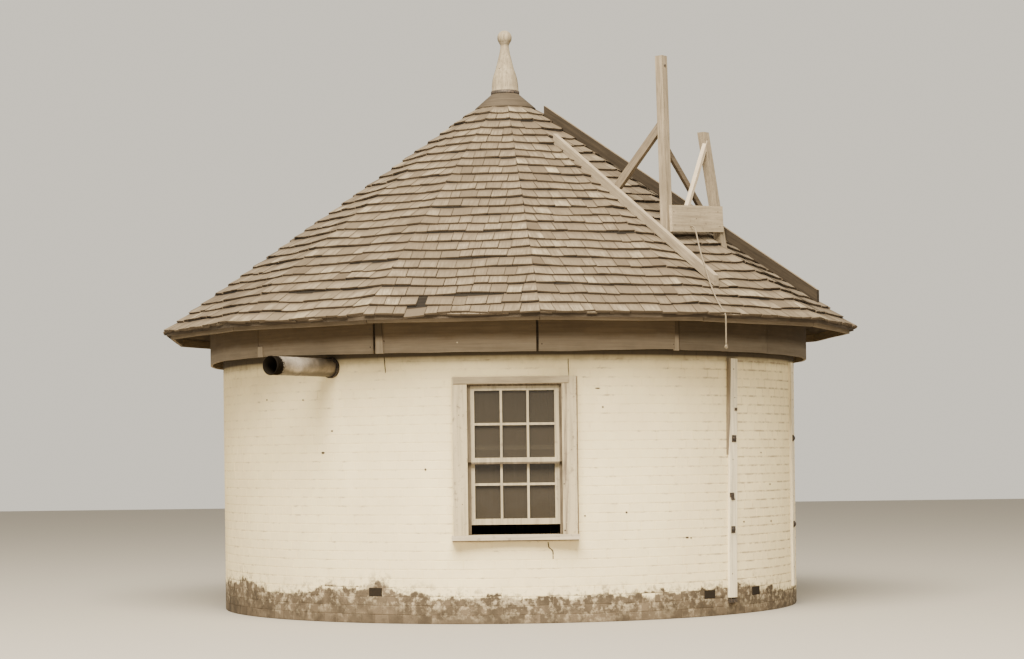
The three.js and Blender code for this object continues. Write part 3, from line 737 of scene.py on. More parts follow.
def makeRope(values):
    # three strands: the radius falls by a cosine of three times the angle, turned on along the route; the
    # knot is a ball with two waves of ridges
    sides = values["sides"]
    mapAround, mapDown = values["mapTurn"]
    path, length = smoothRoute(values["route"], values["step"])
    forward = unit(np.gradient(path, axis=0))
    across = unit(np.cross(forward, (0.8, 0.6, 0.05)))
    third = np.cross(forward, across)
    along = np.linspace(0, length, len(path))[:, None]
    angle = circle(sides)[None]
    twist = 3 * (angle - 2 * np.pi * along / values["twistLength"] / 3)
    radius = values["diameter"] / 2 - values["strandDepth"] * (0.5 - 0.5 * np.cos(twist))
    tube = (path[:, None] + (radius * np.cos(angle))[..., None] * across[:, None]
            + (radius * np.sin(angle))[..., None] * third[:, None])
    caps = path[[0, -1]][:, None].repeat(sides, 1)
    tube = np.concatenate([caps[:1], tube, caps[1:]])
    uv = np.stack(np.broadcast_arrays(angle / mapAround, np.pad(along[:, 0], 1, mode="edge")[:, None]), -1)
    rope = newPiece("hemp_rope", (tube, sweepFaces(len(tube), sides)), "roof", hemp, uv=uv,
                    smooth=True)
    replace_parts(rope, "pull_rope")
    centre = np.mean(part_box("rope_knot"), axis=0)
    steps, count = values["knotGrid"]
    ridge, ripple = values["knotRidges"]
    around, down = np.meshgrid(circle(steps), np.linspace(0, np.pi, count), indexing="ij")
    bulge = (values["knotRadius"] + ridge * np.cos(2 * around + 3 * down) * np.sin(down)
             + ripple * np.cos(5 * around - 6 * down))
    ball = np.stack([bulge * np.cos(around) * np.sin(down), bulge * np.sin(around) * np.sin(down),
                     values["knotHalfHeight"] * np.cos(down)], -1) + centre
    knot = newPiece("overhand_knot", (ball, turnFaces(steps, count)), "roof", hemp,
                    uv=np.stack([around / mapAround, down / mapDown], -1), smooth=True)
    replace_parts(knot, "rope_knot")


makeRope(ropeValues)
print("rope laid")

# Shingles: fourteen sides, each laid in courses from the eave up to the cap

shingleValues = {
    "seed": 11,
    "facets": 14,
    "firstHip": 3.65,
    "apex": 4.542,
    "fall": 0.73,
    "firstButt": 2.971,
    "starterInset": 0.007,
    "courses": 25,
    "exposure": 0.1342,
    "length": 0.17,
    "meanWidth": 0.125,
    "widthSpread": 0.36,
    "gap": (0.0008, 0.003),
    "buttTop": 0.0185,
    "nextTop": 0.0015,
    "thickness": (0.0145, 0.005),
    "starterDrop": 0.014,
    "courseWobble": 0.006,
    "wobble": 0.0085,
    "wave": 0.008,
    "hipLift": 0.012,
    "skew": 0.028,
    "warp": (0.0012, 0.0011),
    "toneSpread": (0.2, 0.06),
    "courseSine": (0.006, 1.9),
    "lowCourses": 0.4,
    "waves": ((1.0, 5.1), (0.7, 11.3)),
    "railLine": ((0.4117, -0.6975), (1.62, -2.1224)),
    "rightOfRail": (-0.02, 0.083),  # base and slope
    "leftOfRail": (-0.025, 0.25),  # base and reach
    "railFades": ((2.9, 0.6), (1.3, 0.5), 0.3),  # towards the eave, to the side and above the rail's head
    # side, course, the gap's middle and half width, a place within the lost one, and its neighbours' reach
    "missing": (13, 2, -0.25, 0.035, -0.257, 0.2),
    # side, course, a place within it, its shift up the slope and its turn
    "slipped": (13, 1, -0.29, -0.045, 0.12),
}


def railShift(values, across, deep):
    # up-slope shift of the courses beside the front rail; d is the plan distance from it, to the right
    # positive: a base and a slope times d on its right, a base times exp(d / reach) on its left, fading out
    # towards the eave
    start, end = np.array(values["railLine"])
    run = unit(end - start)
    offset = across - start
    d = run[0] * offset[..., 1] - run[1] * offset[..., 0]
    right, slope = values["rightOfRail"]
    left, reach = values["leftOfRail"]
    (eave, fading), (aside, narrowing), head = values["railFades"]
    shift = np.where(d > 0, right + slope * d, left * np.exp(np.minimum(d, 0) / reach))
    fall = np.clip((eave - deep) / fading, 0, 1)
    near = np.clip((aside - np.abs(d)) / narrowing, 0, 1) * np.clip((offset @ run + head) / head, 0, 1)
    return shift * fall * fall * (3 - 2 * fall) * near


def makeShingles(values):
    # a point is c rho + t u + z (apex - fall rho) + n h: rho runs out along the side's middle, u along its
    # eave, and the height h over the deck falls evenly from the butt to the head
    rng = np.random.default_rng(values["seed"])
    facets, courses, fall = values["facets"], values["courses"] + 1, values["fall"]
    half = np.pi / facets
    cosine = 1 / math.hypot(1, fall)
    number = np.arange(courses)
    butt = values["firstButt"] - np.maximum(number - 1, 0) * values["exposure"] * cosine
    butt[0] -= values["starterInset"]
    room = 2 * butt * math.tan(half)
    count = np.maximum(1, np.round(room / values["meanWidth"])).astype(int)
    shares = rng.uniform(1 - values["widthSpread"], 1 + values["widthSpread"], (facets, courses, count.max()))
    present = np.broadcast_to(np.arange(count.max()) < count[:, None], shares.shape)
    shares = shares * present
    ends = np.cumsum(shares, 2) / shares.sum(2, keepdims=True)
    starts = ends - shares / shares.sum(2, keepdims=True)
    side, course, _ = np.nonzero(present)
    left = (starts[present] - 0.5) * room[course]
    right = (ends[present] - 0.5) * room[course]

    def spotted(spot, at):
        return (side == spot[0]) & (course == spot[1]) & (left < at) & (right > at)

    gone, slid = values["missing"], values["slipped"]
    kept = ~spotted(gone, gone[4])
    side, course, left, right = side[kept], course[kept], left[kept], right[kept]
    beside = (side == gone[0]) & (course == gone[1]) & (np.abs((left + right) / 2 - gone[2]) < gone[5])
    left = np.where(beside & (left > gone[2]), gone[2] + gone[3], left)
    right = np.where(beside & (right < gone[2]), gone[2] - gone[3], right)
    loose = spotted(slid, slid[2])
    total = len(side)
    gap = rng.uniform(*values["gap"], (2, total))
    u = (left + gap[0])[:, None, None] + (right - left - gap.sum(0))[:, None, None] * np.linspace(0, 1, 4)
    u, up = np.broadcast_arrays(u, np.array([0, 0.5, 1])[None, :, None] * values["length"])
    middle = ((left + right) / 2)[:, None, None]
    level = rng.uniform(-1, 1, (facets, courses)) * values["courseWobble"]
    size, pace = values["courseSine"]
    level = level + size * np.sin(number * pace + np.arange(facets)[:, None])
    level[:, :2] *= values["lowCourses"]
    move = level[side, course] + rng.uniform(-1, 1, total) * values["wobble"] + loose * slid[3]
    turn = rng.uniform(-1, 1, total) * values["skew"] + loose * slid[4]
    phase = rng.uniform(0, 2 * np.pi, (2, facets, courses))[:, side, course][..., None, None]
    wave = sum(size * np.sin(u * pace + shift) for (size, pace), shift in zip(values["waves"], phase))
    base = butt[course][:, None, None]
    hip = np.minimum(np.abs(u) / (base * math.tan(half)), 1) ** 6
    move = (move[:, None, None] + turn[:, None, None] * (u - middle)
            + values["wave"] * wave + values["hipLift"] * hip)
    azimuth = values["firstHip"] + (side + 0.5) * 360 / facets
    outward = polar(1, azimuth, 0)[:, None, None]
    sideways = polar(1, azimuth + 90, 0)[:, None, None]
    normal = (outward * fall + np.array([0, 0, 1])) * cosine
    move = move + railShift(values, (outward * base[..., None] + sideways * u[..., None])[..., :2], base)
    rho = base - (up + move) * cosine
    slope = (values["buttTop"] - values["nextTop"]) / values["exposure"]
    lift = rng.normal(0, values["warp"][0], total)[:, None, None]
    cup = rng.normal(0, values["warp"][1], total)[:, None, None] * (np.linspace(-1, 1, 4) ** 2 - 0.5)
    drop = (course == 0)[:, None, None] * values["starterDrop"]
    top = values["buttTop"] - slope * up + (lift + cup) * (1 - up / values["length"]) - drop
    thick = values["thickness"][0] + (values["thickness"][1] - values["thickness"][0]) * up / values["length"]

    def lay(height):
        limit = (rho + fall * cosine * height) * math.tan(half)
        reach = np.clip(u, -limit, limit)[..., None]
        flat = outward * rho[..., None] + sideways * reach + normal * height[..., None]
        return flat + np.array([0, 0, 1]) * (values["apex"] - fall * rho)[..., None]

    wide, narrow = values["toneSpread"]
    tone = rng.normal(0.5, wide, total) + rng.normal(0, narrow, (facets, courses))[side, course]
    start = rng.uniform(0, 40, (2, total, 1, 1))

    def onBoth(numbers, *shape):
        # the same numbers on the upper and the lower sheet
        return np.concatenate([numbers.reshape(total, -1, *shape)] * 2, 1)

    points = 2 * up[0].size
    fields = {"tone": spread(np.clip(tone, 0, 1), points), "rise": onBoth(up / values["exposure"]),
              "across": onBoth(u - middle), "half": spread((u - middle)[:, -1, -1], points)}
    newPiece("roof_shingles", manySlabs(lay(top), lay(top - thick)), "roof", shingleWood,
             fields, onBoth(np.stack([u + start[0], up + start[1]], -1), 2), merge=False)


makeShingles(shingleValues)
print("shingles laid")

# Bricks: header courses round the wall, standing a little out of the joints

brickValues = {
    "seed": 5,
    "courses": 34,
    "around": 130,
    "rise": 0.0706,
    "size": (0.1175, 0.0675),
    "foot": 2.4975,
    "face": 2.5014,
    "wornCourses": 4,
    "wornFace": 2.5026,
    "bevel": (0.0006, 0.006),
    "lowest": 0.004,
    "windowArc": 11.15,
    "windowLevels": (0.645, 1.921),
    "doorArc": 9.95,
    "doorTop": 2.064,
    "smallest": (0.022, 0.012),
    "bondSine": (0.12, 2.3),
    "bondSpread": (-0.035, 0.035),
    "widthSpread": (0.97, 1.015),
    "heightSpread": (0.97, 1.02),
    "levelSpread": (-0.001, 0.001),
    "wornSpread": (-0.0012, 0.0008),
    "faceSpread": (-0.0004, 0.0004),
    "overlap": 0.8,  # how far past the window's side the middle of a trimmed brick may lie, in half widths
    "trim": (0.001, 0.02),  # how far a brick must reach past the window's levels, or below the door's top
    "backFrom": 170,
    "tones": (0.5, 0.22, 0.2),  # mean, deviation and least
    "darkTone": 0.04,
    "perDegree": 0.0436,  # metres along the wall
    "darkBricks": ((-27.0, 0.247), (37.4, 0.1765), (52.4, 0.1765)),
}


def makeBricks(values):
    # brick i of course j is centred at (i + j / 2) pitches; openings trim it to their edges
    rng = np.random.default_rng(values["seed"])
    course, place = np.meshgrid(np.arange(values["courses"]), np.arange(values["around"]), indexing="ij")
    pitch = 360 / values["around"]
    course, place = course.ravel(), place.ravel()
    total = len(course)
    wide, tall = values["size"]
    size, pace = values["bondSine"]
    centre = (place + 0.5 * (course % 2) + size * np.sin(course * pace)) * pitch
    centre = centre + rng.uniform(*values["bondSpread"], total)
    centre = (centre + 180) % 360 - 180
    reach = np.degrees(wide / 2 / values["face"]) * rng.uniform(*values["widthSpread"], total)
    low = (course + 0.5) * values["rise"] - tall / 2 + rng.uniform(*values["levelSpread"], total)
    high = low + tall * rng.uniform(*values["heightSpread"], total)
    low = np.maximum(low, values["lowest"])
    left, right = centre - reach, centre + reach
    sill, head = values["windowLevels"]
    arc, doorArc, doorTop = values["windowArc"], values["doorArc"], values["doorTop"]
    edge, step = values["trim"]
    above = np.abs(centre) < arc + reach * values["overlap"]
    low = np.where(above & (low < head) & (high > head), head, low)
    high = np.where(above & (low < sill) & (high > sill), sill, high)
    beside = (high > sill + edge) & (low < head - edge)
    left = np.where(beside & (centre > 0), np.maximum(left, arc), left)
    right = np.where(beside & (centre < 0), np.minimum(right, -arc), right)
    beside = low < doorTop - step
    low = np.where((low < doorTop) & ~beside & (np.abs(centre) > values["backFrom"]), doorTop, low)
    left = np.where(beside & (centre < 0), np.maximum(left, doorArc - 180), left)
    right = np.where(beside & (centre > 0), np.minimum(right, 180 - doorArc), right)
    leastWide, leastTall = values["smallest"]
    kept = (np.radians(right - left) * values["face"] > leastWide) & (high - low > leastTall)
    left, right, low, high, centre = left[kept], right[kept], low[kept], high[kept], centre[kept]
    total = len(left)
    middle = (low + high) / 2
    worn = middle < values["wornCourses"] * values["rise"]
    face = np.where(worn, values["wornFace"] + rng.uniform(*values["wornSpread"], total),
                    values["face"] + rng.uniform(*values["faceSpread"], total))
    deep, inset = values["bevel"]
    rings = []
    for radius, inner in ((np.full(total, values["foot"]), 0), (face - deep, 0), (face, inset)):
        turn = np.degrees(inner / values["face"])
        corners = [(left + turn, low + inner), (right - turn, low + inner),
                   (right - turn, high - inner), (left + turn, high - inner)]
        rings.append(np.stack([polar(radius, azimuth, z) for azimuth, z in corners], 1))
    mean, deviation, least = values["tones"]
    tone = np.clip(rng.normal(mean, deviation, total), least, 1)
    for azimuth, z in values["darkBricks"]:
        apart = np.hypot((centre - azimuth) * values["perDegree"], (middle - z) * 3)
        tone[np.argmin(apart)] = values["darkTone"]
    half = np.radians(right - left) * values["face"] / 2
    across = np.stack([half, half, half - inset], 1)[..., None] * np.array([-1, 1, 1, -1])
    points = across[0].size
    newPiece("wall_bricks", manyBlocks(np.stack(rings, 1)), "building", wallWash,
             {"tone": spread(tone, points), "half": spread(half, points), "across": across}, merge=False)


makeBricks(brickValues)
print("bricks laid")

# Cracks and dark marks of the wall, by azimuth and height; a spot also has its width and height

markValues = {
    "wall": 2.5,
    "face": 2.5038,
    "back": 2.4988,
    "taper": [0.5, 1, 0.8, 1, 0.5],
    "widths": [0.0075, 0.0065, 0.009, 0.010, 0.009],
    "lines": [
        [(-23.79, 2.086), (-23.73, 2.055), (-23.70, 2.028), (-23.60, 1.99), (-23.56, 1.961)],
        [(9.74, 2.05), (9.72, 2.02), (9.73, 1.985), (9.79, 1.95), (9.82, 1.919)],
        [(5.71, 0.631), (5.78, 0.612), (5.84, 0.59), (5.96, 0.584), (6.25, 0.575)],
        [(6.25, 0.575), (6.42, 0.568), (6.56, 0.556), (6.6, 0.54), (6.57, 0.528)],
        [(6.57, 0.528), (6.6, 0.52), (6.57, 0.513), (6.6, 0.505), (6.57, 0.498)],
    ],
    "spots": [
        (15.1, 1.819, 0.042, 0.010), (16.03, 1.673, 0.014, 0.014), (20.34, 0.849, 0.018, 0.016),
        (33.1, 0.638, 0.030, 0.014), (34.0, 0.633, 0.016, 0.01), (58.45, 1.042, 0.034, 0.008),
        (58.71, 0.736, 0.022, 0.016), (54.76, 1.304, 0.016, 0.010), (48.38, 0.744, 0.016, 0.014),
        (12.47, 0.829, 0.014, 0.012), (-37.28, 1.343, 0.034, 0.018), (-35.1, 1.515, 0.02, 0.012),
        (-16.11, 1.203, 0.016, 0.018), (-53.03, 1.781, 0.016, 0.012), (-42.16, 1.768, 0.014, 0.012),
    ],
}


def makeMarks(values):
    # a crack is a thin raised line through its points, a spot a small raised lens
    wall = values["wall"]
    lines = np.array(values["lines"])
    step = unit(np.gradient(lines, axis=1) * [wall * math.pi / 180, 1])
    half = np.array(values["widths"])[:, None] / 2 * values["taper"]
    offset = np.stack([step[..., 1] * np.degrees(half / wall), -step[..., 0] * half], -1)
    spots = np.array(values["spots"])
    share = np.linspace(-1, 1, 5)
    across = spots[:, 0, None] + np.degrees(spots[:, 2] / 2 / wall)[:, None] * share
    swell = spots[:, 3, None] / 2 * np.sqrt(1.05 - share ** 2)
    lenses = np.stack([np.stack([across, spots[:, 1, None] + sign * swell], -1) for sign in (-1, 1)], 2)
    rows = np.concatenate([np.stack([lines - offset, lines + offset], 2), lenses])
    marks = bentSlabs(values["face"], values["back"], rows[..., 0], rows[..., 1])
    newPiece("wall_cracks", marks, "building", crackDark)


makeMarks(markValues)
print("cracks drawn")

# Skirt: bent boards that butt against each other, with a cover strip over some of the joints

nailProfile = [(0, -0.002), (0.0055, -0.002), (0.0055, 0.0006), (0.0035, 0.0018), (0, 0.0022)]

skirtValues = {
    "seed": 3,
    "joints": [-51.9, -24.5, 4.0, 29.6, 53.05],
    "frontTones": [0.66, 0.72, 0.6, 0.2, 0.14],
    "backBoards": 9,
    "gaps": [0.007, 0.022, 0.019, 0.042, 0.006],
    "backGap": 0.004,
    "inner": 2.5903,
    "outer": 2.6103,
    "bottom": 2.105,
    "top": 2.588,
    "rim": [(-70, 0.02), (-48, 0.026), (-31, 0.009), (-14, 0.003), (9.5, -0.001), (22, 0.013), (28.5, 0.018),
            (32, 0.012), (60, 0.008), (90, 0.002), (270, 0.002), (290, 0.02)],
    "columns": 15,
    "rows": 5,
    # strips: azimuth and half angle at the foot and at the top, foot, top, and how far it stands out
    "strips": [(-23.42, 0.7, -23.62, 0.48, 2.108, 2.5, 0.012),
               (-51.1, 0.78, -51.15, 0.7, 2.125, 2.209, 0.007),
               (29.6, 0.5, 29.6, 0.5, 2.113, 2.56, -0.006)],
    "shadowLine": (-22.52, 0.16, -22.65, 0.1, 2.112, 2.21, 0.0015),
    "backing": (1.1, 2.13, 2.57, -0.0215),
    "nail": (2.6138, -9.58, 2.179),
    "lift": 0.004,
    "rimSine": (0.0012, 31),
    "springs": (0.0035, 6, 0.2, 0.001),  # most at the ends, its power, least share, and each board's own
    "tones": (0.5, 0.8),
}


def makeSkirt(values):
    # board k runs from joint k to joint k + 1; its ends spring out a little and its lower edge waves
    rng = np.random.default_rng(values["seed"])
    joints = values["joints"]
    back = np.linspace(joints[-1], joints[0] + 360, values["backBoards"] + 1)[1:]
    starts = np.concatenate([joints, back[:-1]])
    ends = np.concatenate([joints[1:], back])
    total = len(starts)
    gaps = np.concatenate([values["gaps"], np.full(values["backBoards"] - 1, values["backGap"])])
    edge = np.degrees(gaps / 2 / values["outer"])
    share = np.linspace(0, 1, values["columns"])
    azimuth = (starts + edge)[:, None] + (ends - np.roll(edge, -1) - starts - edge)[:, None] * share
    azimuth = np.broadcast_to(azimuth[:, None], (total, values["rows"], values["columns"]))
    each = (total, 1, 1)
    most = values["lift"]
    lift = rng.uniform(-most, most, each) + rng.uniform(-most, most, each) * (share - 0.5)
    sag = np.interp(azimuth[:, :1], *zip(*values["rim"]))
    size, pace = values["rimSine"]
    bottom = values["bottom"] + 0.4 * lift + sag + size * np.sin(np.radians(azimuth[:, :1]) * pace)
    up = np.linspace(0, 1, values["rows"])[None, :, None] ** 1.2
    z = bottom + (values["top"] - bottom) * up
    most, power, least, level = values["springs"]
    spring = (most * (np.abs(share - 0.5) * 2) ** power * rng.uniform(least, 1, each)
              + rng.uniform(-level, level, each)) * (1 - up)
    boards = bentSlabs(values["outer"] + spring, values["inner"] + spring, azimuth, z)
    tone = np.concatenate([values["frontTones"], rng.uniform(*values["tones"], total - len(joints))])
    piece = newPiece("skirt_boards", boards, "roof", skirtWood,
                     {"tone": spread(tone, 2 * values["rows"] * values["columns"])}, merge=False)
    for number in range(1, 5):
        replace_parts(piece, f"skirt_{number}")
    reach, low, high, out = values["backing"]
    for name, rows, depth, material in (
            ("skirt_strips", values["strips"], 0.014, coverWood),
            # a dark strip that paints the shadow beside the first cover strip
            ("skirt_strip_shadow", [values["shadowLine"]], 0.004, darkWood),
            ("skirt_backings", [(at, reach, at, reach, low, high, out) for at in starts], 0.012, darkWood)):
        foot, footHalf, head, headHalf, low, high, out = np.array(rows).T[..., None, None]
        rise = np.linspace(0, 1, 5)[:, None]
        half = footHalf + (headHalf - footHalf) * rise
        around = foot + (head - foot) * rise + half * np.linspace(-1, 1, 4)
        around, height, radius = np.broadcast_arrays(around, low + (high - low) * rise, values["outer"] + out)
        newPiece(name, bentSlabs(radius, radius - depth, around, height), "roof", material,
                 merge=False)
    place = polar(*values["nail"])
    nail = manyStuds(nailProfile, 10, [place], place * (1, 1, 0))
    newPiece("skirt_nail", nail, "roof", plankPaint)


makeSkirt(skirtValues)
print("skirt boarded")

# Eave strips: one board under each side of the roof

eaveValues = {"radii": (2.987, 2.962), "bottom": 2.322, "apex": 4.542, "hipSlope": 0.7117, "deck": 0.0453,
              "firstHip": 3.65, "facets": 14, "gap": 0.006, "columns": 6, "seed": 9, "lift": 0.003,
              "edgeSine": (0.0012, 9), "tones": (0.62, 1)}


def makeEave(values):
    # board k lies between hips k and k + 1; its top follows the underside of the deck
    rng = np.random.default_rng(values["seed"])
    total = values["facets"]
    hips = values["firstHip"] + np.arange(total + 1) * 360 / total
    share = np.linspace(0, 1, values["columns"])
    size, pace = values["edgeSine"]
    low = values["bottom"] + rng.uniform(-values["lift"], values["lift"], (total, 1))
    low = low + size * np.sin(share * pace + np.arange(total)[:, None])
    rng = np.random.default_rng(values["seed"])
    sheets = []
    for radius in values["radii"]:
        corner = polar(radius, hips, 0.0)
        inset = values["gap"] / 2 / np.linalg.norm(corner[1] - corner[0])
        place = inset + (1 - 2 * inset) * share[None, :, None]
        line = corner[:-1, None] * (1 - place) + corner[1:, None] * place
        top = values["apex"] - values["hipSlope"] * radius - values["deck"]
        z = np.stack([low, (low + top) / 2, np.full_like(low, top)], 1)
        sheets.append(np.concatenate([np.repeat(line[:, None, :, :2], 3, 1), z[..., None]], -1))
    tone = spread(rng.uniform(*values["tones"], total), 6 * values["columns"])
    piece = newPiece("eave_strips", manySlabs(*sheets), "roof", stripWood, {"tone": tone},
                     merge=False)
    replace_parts(piece, "eave_board")


makeEave(eaveValues)
print("eave boarded")

# Finial, turned round its axis, with the sheet cone at its foot

finialValues = {
    "profile": [(0, 4.25), (0.118, 4.25), (0.118, 4.4556), (0.078, 4.4556), (0.078, 4.4933), (0.119, 4.4933),
                (0.1205, 4.497), (0.1205, 4.527), (0.1185, 4.532), (0.1172, 4.56), (0.115, 4.59),
                (0.1113, 4.617), (0.1062, 4.643), (0.1012, 4.661), (0.094, 4.683), (0.088, 4.7),
                (0.083, 4.713), (0.0783, 4.73), (0.074, 4.747), (0.0693, 4.766), (0.065, 4.784),
                (0.0603, 4.802), (0.056, 4.82), (0.0517, 4.837), (0.0475, 4.854), (0.044, 4.874),
                (0.041, 4.893), (0.0384, 4.908), (0.037, 4.92), (0.0375, 4.929), (0.0405, 4.937),
                (0.0455, 4.944), (0.0475, 4.949), (0.0500, 4.9545)],
    "ball": (0.0645, 4.996, -38, 18),  # radius, height, lowest angle and steps
    "steps": 72,
    "cone": [(0.0803, 4.457), (0.0803, 4.4915), (0.125, 4.4915), (0.268, 4.366), (0.268, 4.352),
             (0.262, 4.352), (0.12, 4.457)],
    "band": [(0.1207, 4.4935), (0.1262, 4.4935), (0.1268, 4.499), (0.1262, 4.519), (0.1207, 4.523)],
    "hole": (0.0815, -38.0, 4.716),
    "holeProfile": [(0, -0.003), (0.006, -0.003), (0.006, 0.0006), (0, 0.0012)],
}


def makeFinial(values):
    # the shaft's profile goes on into a ball; a sheet cone sheds the rain at its foot, under a dark band
    radius, height, low, steps = values["ball"]
    angle = np.radians(np.linspace(low, 90, steps))
    ball = np.stack([radius * np.cos(angle), height + radius * np.sin(angle)], -1)
    ball[-1, 0] = 0
    shaft = np.concatenate([values["profile"], ball])
    for name, profile, wobble, slot, material, node in (
            ("turned_finial", shaft, 0.006, "weathered_wood", finialWood, "finial"),
            ("cap_cone", values["cone"], 0.002, "dark_wood", capWood, "crown_cap"),
            ("finial_band", values["band"], 0.0, "sheet_iron", darkIron, None)):
        piece = newPiece(name, turned(profile, values["steps"], wobble), "roof", material, smooth=True)
        if node:
            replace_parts(piece, node)
    place = polar(*values["hole"])
    newPiece("finial_hole", manyStuds(values["holeProfile"], 12, [place], place * (1, 1, 0)), "roof",
             crackDark)


makeFinial(finialValues)
print("finial turned")

# Stovepipe: a sheet-iron tube with a lapped joint and a rolled rim, in a collar on the wall

pipeValues = {
    "tube": [(0.069, 2.5003), (0.0725, 2.5003), (0.0725, 2.93), (0.0738, 2.934), (0.0738, 2.946),
             (0.073, 2.95), (0.073, 3.236), (0.0748, 3.238), (0.0755, 3.244), (0.0748, 3.251),
             (0.073, 3.254), (0.069, 3.254)],
    "collar": [(0.0738, 2.5003), (0.0815, 2.5003), (0.082, 2.503), (0.082, 2.527), (0.081, 2.53),
               (0.0738, 2.53)],
    "steps": 72,
}


def makePipe(values, looks):
    # the turned profiles lie on the pipe's axis, level and straight out from the wall
    outward = polar(1.0, looks["azimuth"], 0.0)
    axes = np.array([polar(1.0, looks["azimuth"] + 90, 0.0), (0, 0, 1), outward])
    for name, profile, wobble, material, node in (
            ("stovepipe_tube", values["tube"], 0.004, pipeIron, "stovepipe"),
            ("stovepipe_flange", values["collar"], 0.0, darkIron, "stovepipe_collar")):
        points, faces = turned(profile, values["steps"], wobble)
        shape = points @ axes + np.array([0, 0, looks["axisHeight"]]), faces
        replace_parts(newPiece(name, shape, "building", material, smooth=True), node)


makePipe(pipeValues, pipeLooks)
print("stovepipe made")

# Window trim: beads round the sashes, dark with painted shade, the head board, and painted shadow lines round
# the casing and under the sill

trimValues = {
    "ease": 0.0012,
    # boxes: x0, x1, z0, z1, back, front
    # beads beside the sashes, under the head and under the meeting rail, dark with painted shade
    "shadeBeads": [(-0.3665, -0.341, 1.2537, 1.868, -2.4905, -2.502),
              (0.347, 0.3665, 1.2537, 1.868, -2.4905, -2.502),
              (-0.341, 0.347, 1.842, 1.868, -2.4905, -2.5),
              (-0.3665, -0.341, 0.691, 1.2535, -2.4525, -2.47),
              (0.347, 0.3665, 0.691, 1.2535, -2.4525, -2.47),
              (-0.341, 0.347, 1.2385, 1.2535, -2.4525, -2.489)],
    "headBoard": (-0.47, 0.421, 1.862, 1.913, -2.5302, -2.537),
    # dark lines of painted shadow beside the casing and under the head board
    "joints": [(0.4805, 0.4925, 0.652, 1.915, -2.45, -2.4592),
               (-0.47, 0.374, 1.857, 1.8625, -2.529, -2.5342)],
    # the painted shadow line under the sill
    # radius, depth, reach in degrees, low and high
    "underSill": (2.5055, 0.01, 11.3, 0.6395, 0.6515),
    # x, z and radius
    "knots": [(0.378, 1.08, 0.006), (0.381, 0.72, 0.007), (-0.41, 0.93, 0.004), (-0.43, 1.62, 0.004)],
    "nails": [(side * x, z) for side in (-1, 1) for x in (0.395, 0.455) for z in (0.78, 1.14, 1.5, 1.78)],
    "casingFace": -2.5302,
}


def makeTrim(values):
    # the painted shadow line under the sill follows the wall's curve; the rest are boxes with eased fronts
    # and small studs
    radius, deep, reach, low, high = values["underSill"]
    around, height = np.meshgrid(np.linspace(-reach, reach, 24), [low, high])
    y, out = values["casingFace"], (0, -1, 0)
    knots = [manyStuds([(0, -0.002), (r, -0.002), (r, 0.0002), (0, 0.0006)], 10, [(x, y, z)], out)
             for x, z, r in values["knots"]]
    nails = [(x, y, z) for x, z in values["nails"]]
    for name, shape, material in (
            ("window_shade_beads", easedBoxes(values["shadeBeads"], values["ease"]), beadShadeWood),
            ("window_head_board", easedBoxes([values["headBoard"]], values["ease"]), headWood),
            # painted shadow lines beside the casing, under its head and under the sill
            ("casing_shadow_lines", easedBoxes(values["joints"], values["ease"]), jointShade),
            ("sill_shadow_line", bentSlabs(radius, radius - deep, around[None], height[None]), jointShade),
            ("casing_knots", joined(knots), crackDark),
            ("casing_nails", manyStuds(nailProfile, 8, nails, out), casingPaint)):
        newPiece(name, shape, "building", material)


makeTrim(trimValues)
print("window trimmed")

# Ironwork: holdfasts of the wall boards, nails and bolts, and the door's planks, stops and straps

